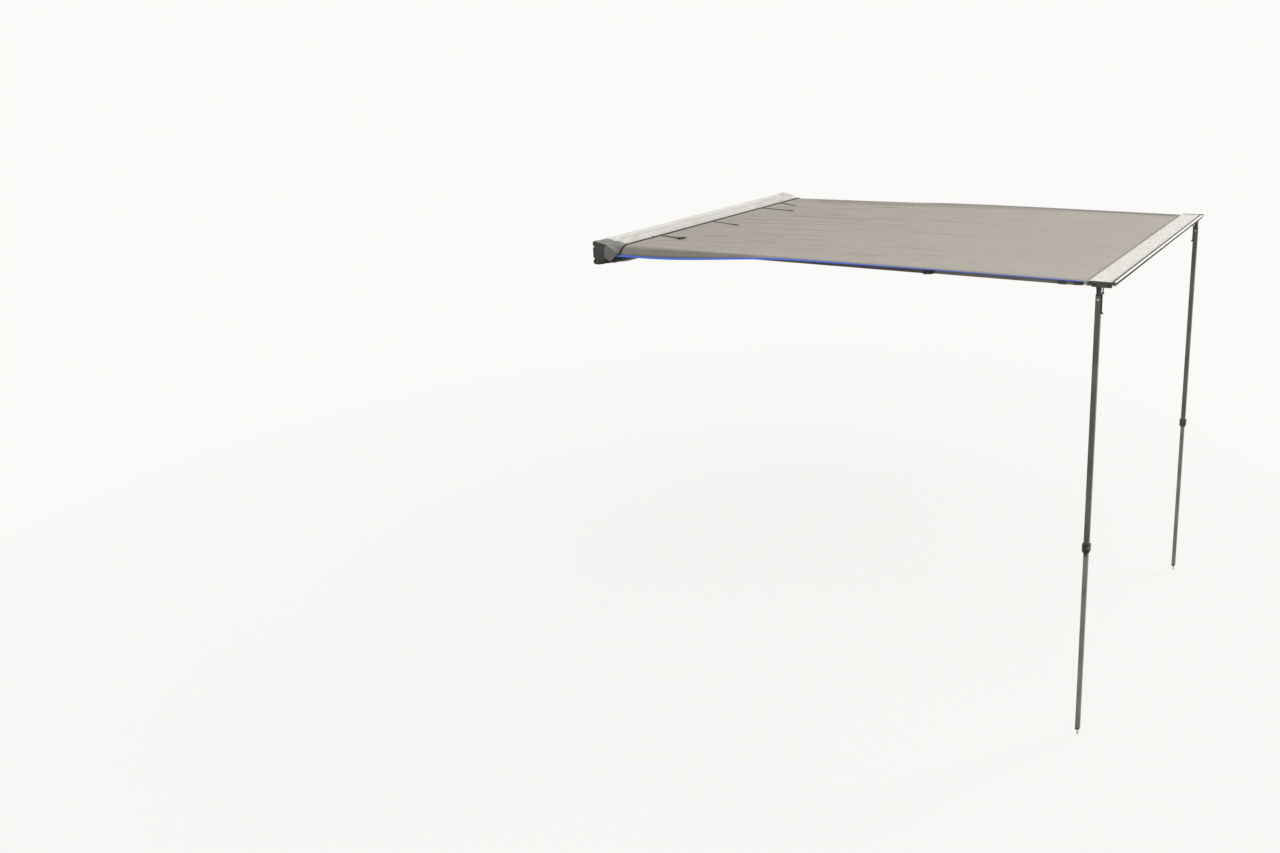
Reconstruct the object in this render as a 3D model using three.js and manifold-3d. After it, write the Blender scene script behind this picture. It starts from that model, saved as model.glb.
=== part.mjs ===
// Side awning for a vehicle, opened out: a wall-mounted back plate with its fabric bag, a canopy that
// runs out to an aluminium lead rail, two telescopic arms that hook onto the rail, and two
// telescopic legs that fold up into it.
//
// Millimetres. The origin is the middle of the back plate's rear face. X runs along the vehicle,
// the awning opens towards -Y, and Z is up. Most outlines are drawn in "out", which is -Y.

import * as THREE from 'three';
import { mergeVertices } from 'three/addons/utils/BufferGeometryUtils.js';
import Module from 'manifold-3d';

const wasm = await Module();
wasm.setup();

// Driving dimensions
const awningLength = 2000;
const projection = 2500;
const mountHeight = 1950;

// Clearances and facets that every piece shares
const touchGap = 0.3;
const slideGap = 0.4;
const overrun = 1;
const weldTolerance = 0.0005;
const cornerSteps = 2;
const roundSteps = 14;
const grooveSteps = 8;

// Back plate extrusion, its T-slots and its fabric grooves
const plate = { height: 105, depth: 16, wall: 2.4, corner: 2, inset: 12, cap: 4, capRim: 0.8 };
const slot = { mouth: 9, inside: 16, depth: 7, lip: 2, spacing: 60 };
const canopyGroove = { radius: 3.2, mouth: 2.6, cover: 1.4, up: 36 };
const bagGroove = { radius: 2.4, mouth: 1.8, cover: 1.2, out: 11 };
const keder = { fit: 0.4, reach: 1.5, endInset: 8 };

// Arms: pivot at the plate, hook at the rail
const arm = {
  pivotInset: 120, pivotOut: 45, pivotUp: 5, stagger: 30, tipInset: 32, tipShort: 134, rise: 16,
  outer: 20, outerWall: 1.5, inner: 16, innerWall: 1.3, corner: 2,
  collarShare: 0.7087, collarLength: 42, overlap: 120, stopShort: 96.7, stopLength: 36, stopHalf: 9.3,
};
const bracket = { halfWidth: 18, halfHeight: 13, pad: 5, ear: 4.5, eye: 11, rootHalf: 16 };
const pivotPin = { radius: 4, head: 6.2, headHeight: 1.2 };
const knuckle = { eye: 10.5, neckFrom: 17, shoulder: 24, tongue: 38, neckHalf: 7 };
const fork = { half: 8, slotHalf: 3.1, eye: 7, throat: 19, shoulder: 32, tongue: 40 };
const hook = {
  thickness: 5, eye: 6, pin: 2.2, pinHead: 3.6, pinHeadHeight: 1.3, reach: 22, lift: 4,
  inside: 4.3, wall: 3.7, tipUp: 2.5, backUp: 2,
};
const peg = { radius: 3, inner: 60, head: 5, headHeight: 2.4 };

// Flip-lever clamps of the arms and the legs
const clamp = {
  wall: 2, lip: 5.5, lugReach: 10.5, lugLength: 17, lugWall: 4.2, pivotOut: 5.3, slit: 2,
  groove: 1.4, grooveAt: 4, grooveDepth: 1.3, taper: 9, taperDepth: 1.6, corner: 3,
};
const lever = {
  halfWidth: 5.6, cam: 5, length: 38, thickness: 3, stand: 0.9, curl: 4, pin: 2.4, shoulderShare: 0.8,
};
const boltHead = { radius: 4.2, height: 1.8 };

// Lead rail extrusion, outwards from its canopy track
const rail = {
  inner: 108, topUp: 53, sheet: 2.5, bottomUp: 32, outerUp: 38, wall: 1.8, innerWall: 17.7,
  outerWall: 102.5, bead: 19, beadUp: 44, corner: 2, inset: 12, trackRing: 4.2, trackUp: 47.5,
  grooveWidth: 3, grooveDepth: 5, grooveFromEdge: 5.5, groovePitch: 8,
  ribValley: 3, ribDepth: 0.7, ribPitch: 5.2, ribs: 13, ribsFrom: 8,
};
const railTrack = { radius: 2.9, mouth: 2.6, cover: 1.3 };
const railCap = {
  thickness: 11.4, inner: 17, outer: 97, low: 31.3, high: 53.8, corner: 4, tab: 55.5, tabFrom: 94,
  tabLow: 44, lip: 5, lipFrom: 6, ear: 6, eye: 6.2, earFrom: 23, earLow: 34, earHigh: 48,
};

// Legs: pivot under the rail, clamp, telescoping foot
const leg = {
  pivotInset: 45, pivotUp: 28, laneInsetLeft: 70, laneInsetRight: 25.5,
  outer: 22, outerWall: 1.1, inner: 19, innerWall: 1.2, corner: 3,
  clampAt: 1093, clampLength: 40, clampFlare: 2.9, overlap: 120,
};
const lug = { half: 5, eye: 9, topHalf: 12, flange: 3, flangeHalf: 15, near: 6, far: 24 };
const head = {
  tineHalf: 10.4, tineGap: 5.4, eye: 9.5, throat: 11, neck: 21, neckHalf: 8, flareAt: 32, tubeAt: 39,
  plug: 46, pin: 4, pinHead: 6, pinHeadHeight: 1.3, rivetAt: 53, rivet: 3, rivetHead: 4.6,
  rivetHeadHeight: 1.3,
};
const foot = { spike: 26, spikeRadius: 2.7, spikeBulb: 3.3, point: 5, cap: 9, tongue: 26, chamfer: 5 };
const keeper = {
  width: 8, thickness: 3.4, length: 128, knob: 4.4, knobAt: 46, lead: 8, hugShare: 0.45, gap: 0.6,
};

// Fabric
const canopy = {
  edgeInset: 14, thickness: 1.2, crown: 4, ripple: 1.2, ripples: 12,
  droop: 39, droopFrom: 20, droopFull: 140, droopFade: 300, droopEnd: 1120, droopClear: 14,
  columns: 18, edgeColumns: 3, rows: 26,
};
const binding = { width: 7, thickness: 2.6 };
const bag = {
  columns: 32, fabric: 2, flapGap: 2.9, flapOut: 150, flapFall: 120, flapInset: 107, wrinkle: 0.8,
  pocketOut: 121, pocketLip: 27, pocketFloor: 56, pocketCornerShare: 0.7, pocketRise: 17,
  pocketRiseFrom: 820,
  endUp: 59, endFold: 80, endFoldUp: 46, endFrontUp: 4, endInset: 5,
  gussetIn: 4.6, gussetFold: 2, gussetLow: 21, gussetLowOut: 15, gussetDeep: 33, gussetDeepOut: 73,
};
const zip = { width: 8, thickness: 2.6 };
const strap = { thickness: 1.5, tuck: 12, rest: 0.35 };
const straps = [
  { name: 'a', alongShare: -0.305, slant: -68, width: 25, reach: 152, buckled: true },
  { name: 'b', alongShare: -0.05, slant: -95, width: 12, reach: 215 },
  { name: 'c', alongShare: 0.23, slant: -70, width: 18, reach: 240 },
  { name: 'd', alongShare: 0.352, slant: -105, width: 14, reach: 150 },
];
const buckle = { width: 42, length: 34, height: 7, barGap: 6 };

const finishes = {
  silver: new THREE.MeshStandardMaterial({ color: 0xd6d6d3, roughness: 0.38, metalness: 0.85 }),
  steel: new THREE.MeshStandardMaterial({ color: 0xb9bbbc, roughness: 0.3, metalness: 1 }),
  charcoalTube: new THREE.MeshStandardMaterial({ color: 0x5f5d57, roughness: 0.45, metalness: 0.5 }),
  charcoalPlastic: new THREE.MeshStandardMaterial({ color: 0x4a4a46, roughness: 0.6, metalness: 0 }),
  blackPlastic: new THREE.MeshStandardMaterial({ color: 0x232323, roughness: 0.55, metalness: 0 }),
  blackRubber: new THREE.MeshStandardMaterial({ color: 0x1d1d1d, roughness: 0.85, metalness: 0 }),
  canopyCloth: new THREE.MeshStandardMaterial({ color: 0xb4aca0, roughness: 0.85, metalness: 0 }),
  bagCloth: new THREE.MeshStandardMaterial({ color: 0xd3d2cd, roughness: 0.8, metalness: 0 }),
  darkCloth: new THREE.MeshStandardMaterial({ color: 0x55565a, roughness: 0.85, metalness: 0 }),
  blueTape: new THREE.MeshStandardMaterial({ color: 0x2446b8, roughness: 0.7, metalness: 0 }),
  webbing: new THREE.MeshStandardMaterial({ color: 0x27272a, roughness: 0.8, metalness: 0 }),
};

const sides = [
  { name: 'left', sign: -1, lane: projection - leg.laneInsetLeft,
    up: arm.pivotUp + arm.stagger / 2, keeperSign: 1 },
  { name: 'right', sign: 1, lane: projection - leg.laneInsetRight,
    up: arm.pivotUp - arm.stagger / 2, keeperSign: -1 },
];

const awning = new THREE.Group();

// Outlines and solids

const turn = 2 * Math.PI;
const quarter = turn / 4;

function point(x, y) {
  return new THREE.Vector2(x, y);
}

function outline(points, ...holes) {
  const shape = new THREE.Shape(points);
  shape.holes = holes.map((hole) => new THREE.Path(hole));
  return shape;
}

function arc(x, y, radius, from, to, steps) {
  return Array.from({ length: steps + 1 }, (_, i) => {
    const angle = THREE.MathUtils.lerp(from, to, i / steps);
    return point(x + radius * Math.cos(angle), y + radius * Math.sin(angle));
  });
}

function circle(x, y, radius, steps = roundSteps) {
  return arc(x, y, radius, 0, turn, steps).slice(0, steps);
}

// A rectangle from its limits, with each corner rounded
function roundedBox(left, right, low, high, radius) {
  const corners = [[right - radius, high - radius], [left + radius, high - radius],
    [left + radius, low + radius], [right - radius, low + radius]];
  return corners.flatMap(([x, y], i) =>
    arc(x, y, radius, i * quarter, (i + 1) * quarter, cornerSteps));
}

function box(left, right, low, high) {
  return [point(left, low), point(right, low), point(right, high), point(left, high)];
}

// A notch in the face of an outline that runs anticlockwise: each place is [depth, distance along]
function notch(mouth, facing, places) {
  const normal = point(Math.cos(facing), Math.sin(facing));
  const along = point(-normal.y, normal.x);
  return places.map(([depth, distance]) =>
    mouth.clone().addScaledVector(normal, -depth).addScaledVector(along, distance));
}

function squareNotch(width, depth) {
  return [[0, -width / 2], [depth, -width / 2], [depth, width / 2], [0, width / 2]];
}

function slotNotch({ mouth, inside, depth, lip }) {
  return [[0, -mouth / 2], [lip, -mouth / 2], [lip, -inside / 2], [depth, -inside / 2],
    [depth, inside / 2], [lip, inside / 2], [lip, mouth / 2], [0, mouth / 2]];
}

// The keyhole groove that holds the round edge cord of a fabric
function keyholeNotch({ radius, mouth, cover }) {
  const centre = radius + cover;
  const half = Math.asin(mouth / 2 / radius);
  const round = Array.from({ length: grooveSteps + 1 }, (_, i) => {
    const angle = THREE.MathUtils.lerp(half, turn - half, i / grooveSteps);
    return [centre - radius * Math.cos(angle), -radius * Math.sin(angle)];
  });
  return [[0, -mouth / 2], ...round, [0, mouth / 2]];
}

const axisX = new THREE.Vector3(1, 0, 0);
const axisY = new THREE.Vector3(0, 1, 0);
const axisZ = new THREE.Vector3(0, 0, 1);
const outward = axisY.clone().negate();

function extruded(shape, depth, start, basis) {
  const geometry = new THREE.ExtrudeGeometry(shape, { depth, bevelEnabled: false, steps: 1 });
  return geometry.translate(0, 0, start).applyMatrix4(new THREE.Matrix4().makeBasis(...basis));
}

// An outline in (out, up), pushed along X
function alongX(shape, from, to) {
  return extruded(shape, to - from, -to, [outward, axisZ, axisX.clone().negate()]);
}

// An outline in (x, up), pushed outwards
function alongOut(shape, from, to) {
  return extruded(shape, to - from, from, [axisX, axisZ, outward]);
}

// An outline in (x, out), pushed upwards
function alongUp(shape, from, to) {
  return extruded(shape, to - from, -to, [axisX, outward, axisZ.clone().negate()]);
}

// A profile of [radius, distance] places turned about an axis
function revolved(places, turned, steps = roundSteps) {
  const geometry = new THREE.LatheGeometry(places.map(([r, d]) => point(r, d)), steps);
  return turned ? geometry.rotateX(turned.x).rotateZ(turned.z) : geometry;
}
const aboutOut = { x: Math.PI, z: 0 };
const aboutUp = { x: quarter, z: 0 };
const aboutX = { x: 0, z: -quarter };

// Booleans
function solidOf(geometry) {
  const bare = geometry.clone();
  for (const name of Object.keys(bare.attributes)) {
    if (name !== 'position') bare.deleteAttribute(name);
  }
  const welded = mergeVertices(bare, weldTolerance);
  return new wasm.Manifold(new wasm.Mesh({
    numProp: 3,
    vertProperties: Float32Array.from(welded.attributes.position.array),
    triVerts: Uint32Array.from(welded.index.array),
  }));
}

function geometryOf(solid) {
  const mesh = solid.getMesh();
  const geometry = new THREE.BufferGeometry();
  const places = Float32Array.from(mesh.vertProperties);
  geometry.setAttribute('position', new THREE.BufferAttribute(places, 3));
  geometry.setIndex(new THREE.BufferAttribute(Uint32Array.from(mesh.triVerts), 1));
  geometry.computeVertexNormals();
  return geometry;
}

function join(...geometries) {
  return geometryOf(geometries.map(solidOf).reduce((whole, next) => whole.add(next)));
}

function cut(geometry, ...tools) {
  return geometryOf(tools.map(solidOf).reduce((rest, tool) => rest.subtract(tool), solidOf(geometry)));
}

function common(first, second) {
  return geometryOf(solidOf(first).intersect(solidOf(second)));
}

// A closed mesh from points and triangles, turned the right way out
function closedMesh(points, triangles) {
  const volume = triangles.reduce((sum, [a, b, c]) =>
    sum + points[a].dot(points[b].clone().cross(points[c])), 0);
  const faces = volume < 0 ? triangles.map(([a, b, c]) => [a, c, b]) : triangles;
  const geometry = new THREE.BufferGeometry().setFromPoints(points);
  geometry.setIndex(faces.flat());
  geometry.computeVertexNormals();
  return geometry;
}

// Sections of equal point counts, skinned in order and closed at both ends
function loft(sections) {
  const count = sections[0].length;
  const triangles = [];
  for (let s = 0; s + 1 < sections.length; s++) {
    for (let i = 0; i < count; i++) {
      const next = (i + 1) % count;
      const [a, b, c, d] = [s * count + i, s * count + next, (s + 1) * count + next, (s + 1) * count + i];
      triangles.push([a, b, c], [a, c, d]);
    }
  }
  const last = (sections.length - 1) * count;
  for (const [a, b, c] of endFaces(sections[0])) triangles.push([a, c, b]);
  for (const [a, b, c] of endFaces(sections.at(-1))) triangles.push([last + a, last + b, last + c]);
  return closedMesh(sections.flat(), triangles);
}

// The triangles of a flat end, in the order of its points
function endFaces(section) {
  const centre = section[0];
  const normal = section.reduce((sum, p, i) => {
    const q = section[(i + 1) % section.length];
    return sum.add(p.clone().sub(centre).cross(q.clone().sub(centre)));
  }, new THREE.Vector3()).normalize();
  const level = section[1].clone().sub(centre).normalize();
  const upright = normal.clone().cross(level);
  const flat = section.map((p) => p.clone().sub(centre))
    .map((p) => point(p.dot(level), p.dot(upright)));
  return THREE.ShapeUtils.triangulateShape(flat, []);
}

// A sheet of fabric over a grid of shares (s, t), as thick as said, upwards and downwards
function sheet(surface, columns, rows, thickness) {
  const layer = (offset) => Array.from({ length: (columns + 1) * (rows + 1) }, (_, i) => {
    const s = (i % (columns + 1)) / columns;
    const t = Math.floor(i / (columns + 1)) / rows;
    return surface(s, t).addScaledVector(axisZ, offset);
  });
  const points = [...layer(thickness / 2), ...layer(-thickness / 2)];
  const below = points.length / 2;
  const at = (i, j) => j * (columns + 1) + i;
  const triangles = [];
  const wall = (a, b) => triangles.push([a, below + a, below + b], [a, below + b, b]);
  for (let j = 0; j < rows; j++) {
    for (let i = 0; i < columns; i++) {
      const [a, b, c, d] = [at(i, j), at(i + 1, j), at(i + 1, j + 1), at(i, j + 1)];
      triangles.push([a, b, c], [a, c, d]);
      triangles.push([below + a, below + c, below + b], [below + a, below + d, below + c]);
    }
  }
  for (let i = 0; i < columns; i++) {
    wall(at(i, 0), at(i + 1, 0));
    wall(at(i + 1, rows), at(i, rows));
  }
  for (let j = 0; j < rows; j++) {
    wall(at(0, j + 1), at(0, j));
    wall(at(columns, j), at(columns, j + 1));
  }
  return closedMesh(points, triangles);
}

function add(parent, name, geometry, finish) {
  const mesh = new THREE.Mesh(geometry, finish.clone());
  mesh.name = name;
  parent.add(mesh);
  return mesh;
}

// Back plate

const plateHalf = awningLength / 2 - plate.inset;
const faceOut = plate.depth;
const slotUps = [slot.spacing / 2, -slot.spacing / 2];

function plateOutline(rim, withGrooves) {
  const half = plate.height / 2 + rim;
  const front = plate.depth + rim;
  const round = plate.corner + rim;
  const groove = (mouth, facing, size) => (withGrooves ? notch(mouth, facing, keyholeNotch(size)) : []);
  return [
    point(0, -half),
    ...groove(point(bagGroove.out, -half), -quarter, bagGroove),
    ...arc(front - round, -half + round, round, -quarter, 0, cornerSteps),
    ...groove(point(front, canopyGroove.up), 0, canopyGroove),
    ...arc(front - round, half - round, round, 0, quarter, cornerSteps),
    ...groove(point(bagGroove.out, half), quarter, bagGroove),
    point(0, half),
    ...slotUps.flatMap((up) => notch(point(0, up), 2 * quarter, slotNotch(slot))),
  ];
}

function backPlate() {
  const chamberHalf = slot.spacing / 2 - slot.inside / 2 - plate.wall;
  const chamber = box(plate.wall, plate.depth - plate.wall, -chamberHalf, chamberHalf);
  return alongX(outline(plateOutline(0, true), chamber), -plateHalf, plateHalf);
}

function plateCap(sign) {
  const inner = plateHalf + touchGap;
  const shape = outline(plateOutline(plate.capRim, false));
  return sign > 0 ? alongX(shape, inner, inner + plate.cap) : alongX(shape, -inner - plate.cap, -inner);
}

// The round cord of a fabric edge with the neck that leaves its groove
function kederPlaces(groove) {
  const radius = groove.radius - keder.fit;
  const neck = groove.mouth / 2 - keder.fit;
  const centre = groove.radius + groove.cover;
  const open = Math.asin(neck / radius);
  const round = Array.from({ length: grooveSteps + 1 }, (_, i) => {
    const angle = THREE.MathUtils.lerp(open, turn - open, i / grooveSteps);
    return [centre - radius * Math.cos(angle), -radius * Math.sin(angle)];
  });
  return [[-keder.reach, -neck], ...round, [-keder.reach, neck]];
}

function kederRod(groove, mouth, facing, half) {
  return alongX(outline(notch(mouth, facing, kederPlaces(groove))), -half, half);
}

const kederHalf = plateHalf - keder.endInset;
add(awning, 'back_plate', backPlate(), finishes.silver);
for (const { name, sign } of sides) {
  add(awning, `plate_end_cap_${name}`, plateCap(sign), finishes.blackPlastic);
}

// Telescopic tubes, drawn with their length running out

function tube(size, wall, corner, from, to) {
  const half = size / 2;
  const bore = half - wall;
  return alongOut(outline(roundedBox(-half, half, -half, half, corner),
    roundedBox(-bore, bore, -bore, bore, corner - wall)), from, to);
}

// A lofted square sleeve from [out, half width, half height] stations
function squareLoft(stations, corner) {
  return loft(stations.map(([out, halfX, halfUp]) =>
    roundedBox(-halfX, halfX, -halfUp, halfUp, corner).map((p) => new THREE.Vector3(p.x, -out, p.y))));
}

function clampSizes(outer, flare) {
  const half = outer / 2 + touchGap + clamp.wall;
  const lugHalf = lever.halfWidth + slideGap + clamp.lugWall;
  return { half, flare, pivotX: half + clamp.pivotOut, lugHalf };
}

// The moulded collar at a tube joint: grips both tubes, and is split and lugged on its lever side
function clampCollar({ outer, inner, from, length, sign, flare }) {
  const { half, pivotX, lugHalf } = clampSizes(outer, flare);
  const to = from + length;
  const wide = half + flare;
  const grooveFrom = from + clamp.grooveAt;
  const grooveTo = grooveFrom + clamp.groove;
  const body = squareLoft([
    [from, half, wide], [grooveFrom, half, wide],
    [grooveFrom, half - clamp.grooveDepth, wide - clamp.grooveDepth],
    [grooveTo, half - clamp.grooveDepth, wide - clamp.grooveDepth],
    [grooveTo, half, wide], [to - clamp.taper, half, wide],
    [to, half - clamp.taperDepth, half - clamp.taperDepth],
  ], clamp.corner);
  const lugFrom = from + length / 2 - clamp.lugLength;
  const lugs = alongOut(outline(box(0, half + clamp.lugReach, -lugHalf, lugHalf)
    .map((p) => point(sign * p.x, p.y))), lugFrom, lugFrom + clamp.lugLength);
  const leverGap = lever.halfWidth + slideGap;
  const camSpace = alongOut(outline(box(half, half + clamp.lugReach + overrun, -leverGap, leverGap)
    .map((p) => point(sign * p.x, p.y))), lugFrom - overrun, lugFrom + clamp.lugLength + overrun);
  const bore = outer / 2 + touchGap;
  const lipBore = inner / 2 + touchGap;
  const slit = box(0, half + overrun, -clamp.slit / 2, clamp.slit / 2).map((p) => point(sign * p.x, p.y));
  const sleeve = cut(join(body, lugs), camSpace,
    alongOut(outline(box(-bore, bore, -bore, bore)), from - overrun, to - clamp.lip),
    alongOut(outline(box(-lipBore, lipBore, -lipBore, lipBore)), from, to + overrun),
    alongOut(outline(slit), from - overrun, to + overrun));
  const pivot = clampPivot(lugHalf).translate(sign * pivotX, -from - leverPivot(length), 0);
  return join(sleeve, pivot);
}

function leverPivot(length) {
  return (length - clamp.lugLength) / 2;
}

// The cam lever: a round cam and a blade that lies along the collar and curls away at its tip
function clampLever({ outer, from, length, sign, flare }) {
  const { half, pivotX } = clampSizes(outer, flare);
  const start = from + leverPivot(length);
  const inside = half + lever.stand;
  const outside = inside + lever.thickness;
  const tip = start + lever.length;
  const bend = start + lever.length - lever.curl * 2;
  const blade = [
    point(inside, start), point(pivotX, start),
    point(pivotX + lever.cam * lever.shoulderShare, start + lever.cam),
    point(outside, start + lever.length / 2), point(outside, bend), point(outside + lever.curl, tip),
    point(outside + lever.curl - lever.thickness, tip), point(inside, bend),
  ];
  const mirrored = (points) => outline(points.map((p) => point(sign * p.x, p.y)));
  const solid = join(...[blade, circle(pivotX, start, lever.cam)].map((points) =>
    alongUp(mirrored(points), -lever.halfWidth, lever.halfWidth)));
  const hole = alongUp(outline(circle(sign * pivotX, start, lever.pin + touchGap)),
    -lever.halfWidth - overrun, lever.halfWidth + overrun);
  return cut(solid, hole);
}

// The pin that the lever turns on, pressed through the lugs, with a round head at each end
function clampPivot(lugHalf) {
  const end = lugHalf + boltHead.height;
  return revolved([[0, -end], [boltHead.radius, -end], [boltHead.radius, -lugHalf], [lever.pin, -lugHalf],
    [lever.pin, lugHalf], [boltHead.radius, lugHalf], [boltHead.radius, end], [0, end]], aboutUp);
}

// Arms

const pivotX = awningLength / 2 - arm.pivotInset;
const tipX = awningLength / 2 - arm.tipInset;
const tipOut = projection - arm.tipShort;
const armReach = new THREE.Vector3(tipX - pivotX, tipOut - arm.pivotOut, arm.rise).length();
const armCollarAt = armReach * arm.collarShare;
const armStopAt = armReach - arm.stopShort;

// The arm's own frame: X across, -Y out along the tube, Z up its swing axis
function armFrame({ sign, up }) {
  const start = new THREE.Vector3(sign * pivotX, -arm.pivotOut, up);
  const end = new THREE.Vector3(sign * tipX, -tipOut, up + arm.rise);
  const back = start.clone().sub(end).normalize();
  const swing = axisX.clone().cross(back).normalize();
  const across = back.clone().cross(swing);
  return new THREE.Matrix4().makeBasis(across, back, swing).setPosition(start);
}

function armBracket() {
  const wallOut = faceOut + touchGap - arm.pivotOut;
  const padOut = wallOut + bracket.pad;
  const pad = alongOut(outline(roundedBox(-bracket.halfWidth, bracket.halfWidth, -bracket.halfHeight,
    bracket.halfHeight, plate.corner)), wallOut, padOut);
  const tongue = outline([
    point(-bracket.rootHalf, wallOut + overrun), point(bracket.rootHalf, wallOut + overrun),
    ...arc(0, 0, bracket.eye, 0, 2 * quarter, roundSteps / 2),
  ]);
  const top = alongUp(tongue, bracket.halfHeight - bracket.ear, bracket.halfHeight);
  const bottom = alongUp(tongue, -bracket.halfHeight, -bracket.halfHeight + bracket.ear);
  const hole = alongUp(outline(circle(0, 0, pivotPin.radius + touchGap)),
    -bracket.halfHeight - overrun, bracket.halfHeight + overrun);
  return cut(join(pad, top, bottom), hole);
}

function armPivotPin() {
  const end = bracket.halfHeight + touchGap;
  return revolved([[0, -end - pivotPin.headHeight], [pivotPin.head, -end - pivotPin.headHeight],
    [pivotPin.head, -end], [pivotPin.radius, -end], [pivotPin.radius, end], [pivotPin.head, end],
    [pivotPin.head, end + pivotPin.headHeight], [0, end + pivotPin.headHeight]], aboutUp);
}

function armKnuckle() {
  const half = bracket.halfHeight - bracket.ear - touchGap;
  const tubeHalf = arm.outer / 2;
  const tongueHalf = tubeHalf - arm.outerWall - slideGap;
  const eye = alongUp(outline(circle(0, 0, knuckle.eye)), -half, half);
  const neck = squareLoft([[0, knuckle.neckHalf, half], [knuckle.neckFrom, knuckle.neckHalf, half],
    [knuckle.shoulder - arm.corner, tubeHalf, tubeHalf],
    [knuckle.shoulder, tubeHalf, tubeHalf]], arm.corner);
  const tongue = alongOut(outline(roundedBox(-tongueHalf, tongueHalf, -tongueHalf, tongueHalf,
    arm.corner - arm.outerWall)), knuckle.neckFrom, knuckle.shoulder + knuckle.tongue);
  const hole = alongUp(outline(circle(0, 0, pivotPin.radius + touchGap)), -half - overrun, half + overrun);
  return cut(join(eye, neck, tongue), hole);
}

function armStop() {
  const bore = arm.inner / 2 + touchGap;
  const from = armStopAt;
  const to = armStopAt + arm.stopLength;
  const chamfer = arm.corner;
  const body = squareLoft([[from, arm.stopHalf - chamfer / 2, arm.stopHalf - chamfer / 2],
    [from + chamfer, arm.stopHalf, arm.stopHalf], [to - chamfer, arm.stopHalf, arm.stopHalf],
    [to, arm.stopHalf - chamfer / 2, arm.stopHalf - chamfer / 2]], arm.corner);
  const hole = alongOut(outline(roundedBox(-bore, bore, -bore, bore, arm.corner + touchGap)),
    from - overrun, to + overrun);
  return cut(body, hole);
}

function armFork() {
  const pinAt = armReach;
  const tongueHalf = arm.inner / 2 - arm.innerWall - slideGap;
  const shoulderAt = pinAt - fork.shoulder;
  const cheek = outline([point(shoulderAt, -fork.half), point(pinAt - fork.throat, -fork.half),
    ...arc(pinAt, 0, fork.eye, -quarter, quarter, roundSteps / 2),
    point(pinAt - fork.throat, fork.half), point(shoulderAt, fork.half)]);
  const cheeks = alongX(cheek, -fork.half, fork.half);
  const throat = alongX(outline(box(pinAt - fork.throat, pinAt + fork.eye + overrun, -fork.half - overrun,
    fork.half + overrun)), -fork.slotHalf, fork.slotHalf);
  const tongue = alongOut(outline(roundedBox(-tongueHalf, tongueHalf, -tongueHalf, tongueHalf,
    arm.corner - arm.innerWall)), shoulderAt - fork.tongue, shoulderAt + overrun);
  return join(cut(join(cheeks, tongue), throat), hookPin());
}

// The hook blade: an eye on the arm's pin and a J that passes under the rail's peg
function armHook() {
  const centreOut = armReach + hook.reach;
  const outside = hook.inside + hook.wall;
  const tipAngle = Math.asin(hook.tipUp / outside);
  const mouthAngle = Math.asin(hook.tipUp / hook.inside);
  const backAngle = Math.PI - Math.asin(hook.backUp / hook.inside);
  const blade = outline([
    ...arc(armReach, 0, hook.eye, quarter, 3 * quarter, roundSteps / 2),
    ...arc(centreOut, hook.lift, outside, -quarter - Math.PI / 6, tipAngle, roundSteps / 2),
    ...arc(centreOut, hook.lift, hook.inside, mouthAngle, backAngle - turn, roundSteps / 2),
  ]);
  const hole = alongX(outline(circle(armReach, 0, hook.pin + touchGap)), -hook.thickness, hook.thickness);
  return cut(alongX(blade, -hook.thickness / 2, hook.thickness / 2), hole);
}

// The pin riveted through the fork's cheeks
function hookPin() {
  const end = fork.half + hook.pinHeadHeight;
  return revolved([[0, -end], [hook.pinHead, -end], [hook.pinHead, -fork.half], [hook.pin, -fork.half],
    [hook.pin, fork.half], [hook.pinHead, fork.half], [hook.pinHead, end], [0, end]], aboutX)
    .translate(0, -armReach, 0);
}

for (const side of sides) {
  const { name, sign } = side;
  const fixed = new THREE.Group();
  fixed.position.set(sign * pivotX, -arm.pivotOut, side.up);
  add(fixed, `arm_bracket_${name}`, armBracket(), finishes.charcoalPlastic);
  add(fixed, `arm_pivot_pin_${name}`, armPivotPin(), finishes.steel);

  const armGroup = new THREE.Group();
  armFrame(side).decompose(armGroup.position, armGroup.quaternion, armGroup.scale);
  const tubeFrom = knuckle.shoulder + touchGap;
  const collar = { outer: arm.outer, inner: arm.inner, from: armCollarAt, length: arm.collarLength,
    sign, flare: 0 };
  const tubeTo = armCollarAt + arm.collarLength - clamp.lip - touchGap;
  add(armGroup, `arm_knuckle_${name}`, armKnuckle(), finishes.charcoalPlastic);
  add(armGroup, `arm_outer_tube_${name}`, tube(arm.outer, arm.outerWall, arm.corner, tubeFrom, tubeTo),
    finishes.charcoalTube);
  add(armGroup, `arm_clamp_collar_${name}`, clampCollar(collar), finishes.charcoalPlastic);
  add(armGroup, `arm_clamp_lever_${name}`, clampLever(collar), finishes.charcoalPlastic);
  add(armGroup, `arm_inner_tube_${name}`, tube(arm.inner, arm.innerWall, arm.corner,
    tubeTo - arm.overlap, armReach - fork.shoulder - touchGap), finishes.charcoalTube);
  add(armGroup, `arm_stop_${name}`, armStop(), finishes.charcoalPlastic);
  add(armGroup, `arm_fork_${name}`, armFork(), finishes.charcoalPlastic);
  add(armGroup, `arm_hook_${name}`, armHook(), finishes.steel);
  awning.add(fixed, armGroup);
}

// Lead rail

const railInner = projection - rail.inner;
const railHalf = awningLength / 2 - rail.inset;
const railUnder = rail.topUp - rail.sheet;
const trackOut = railInner + rail.trackRing;

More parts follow.
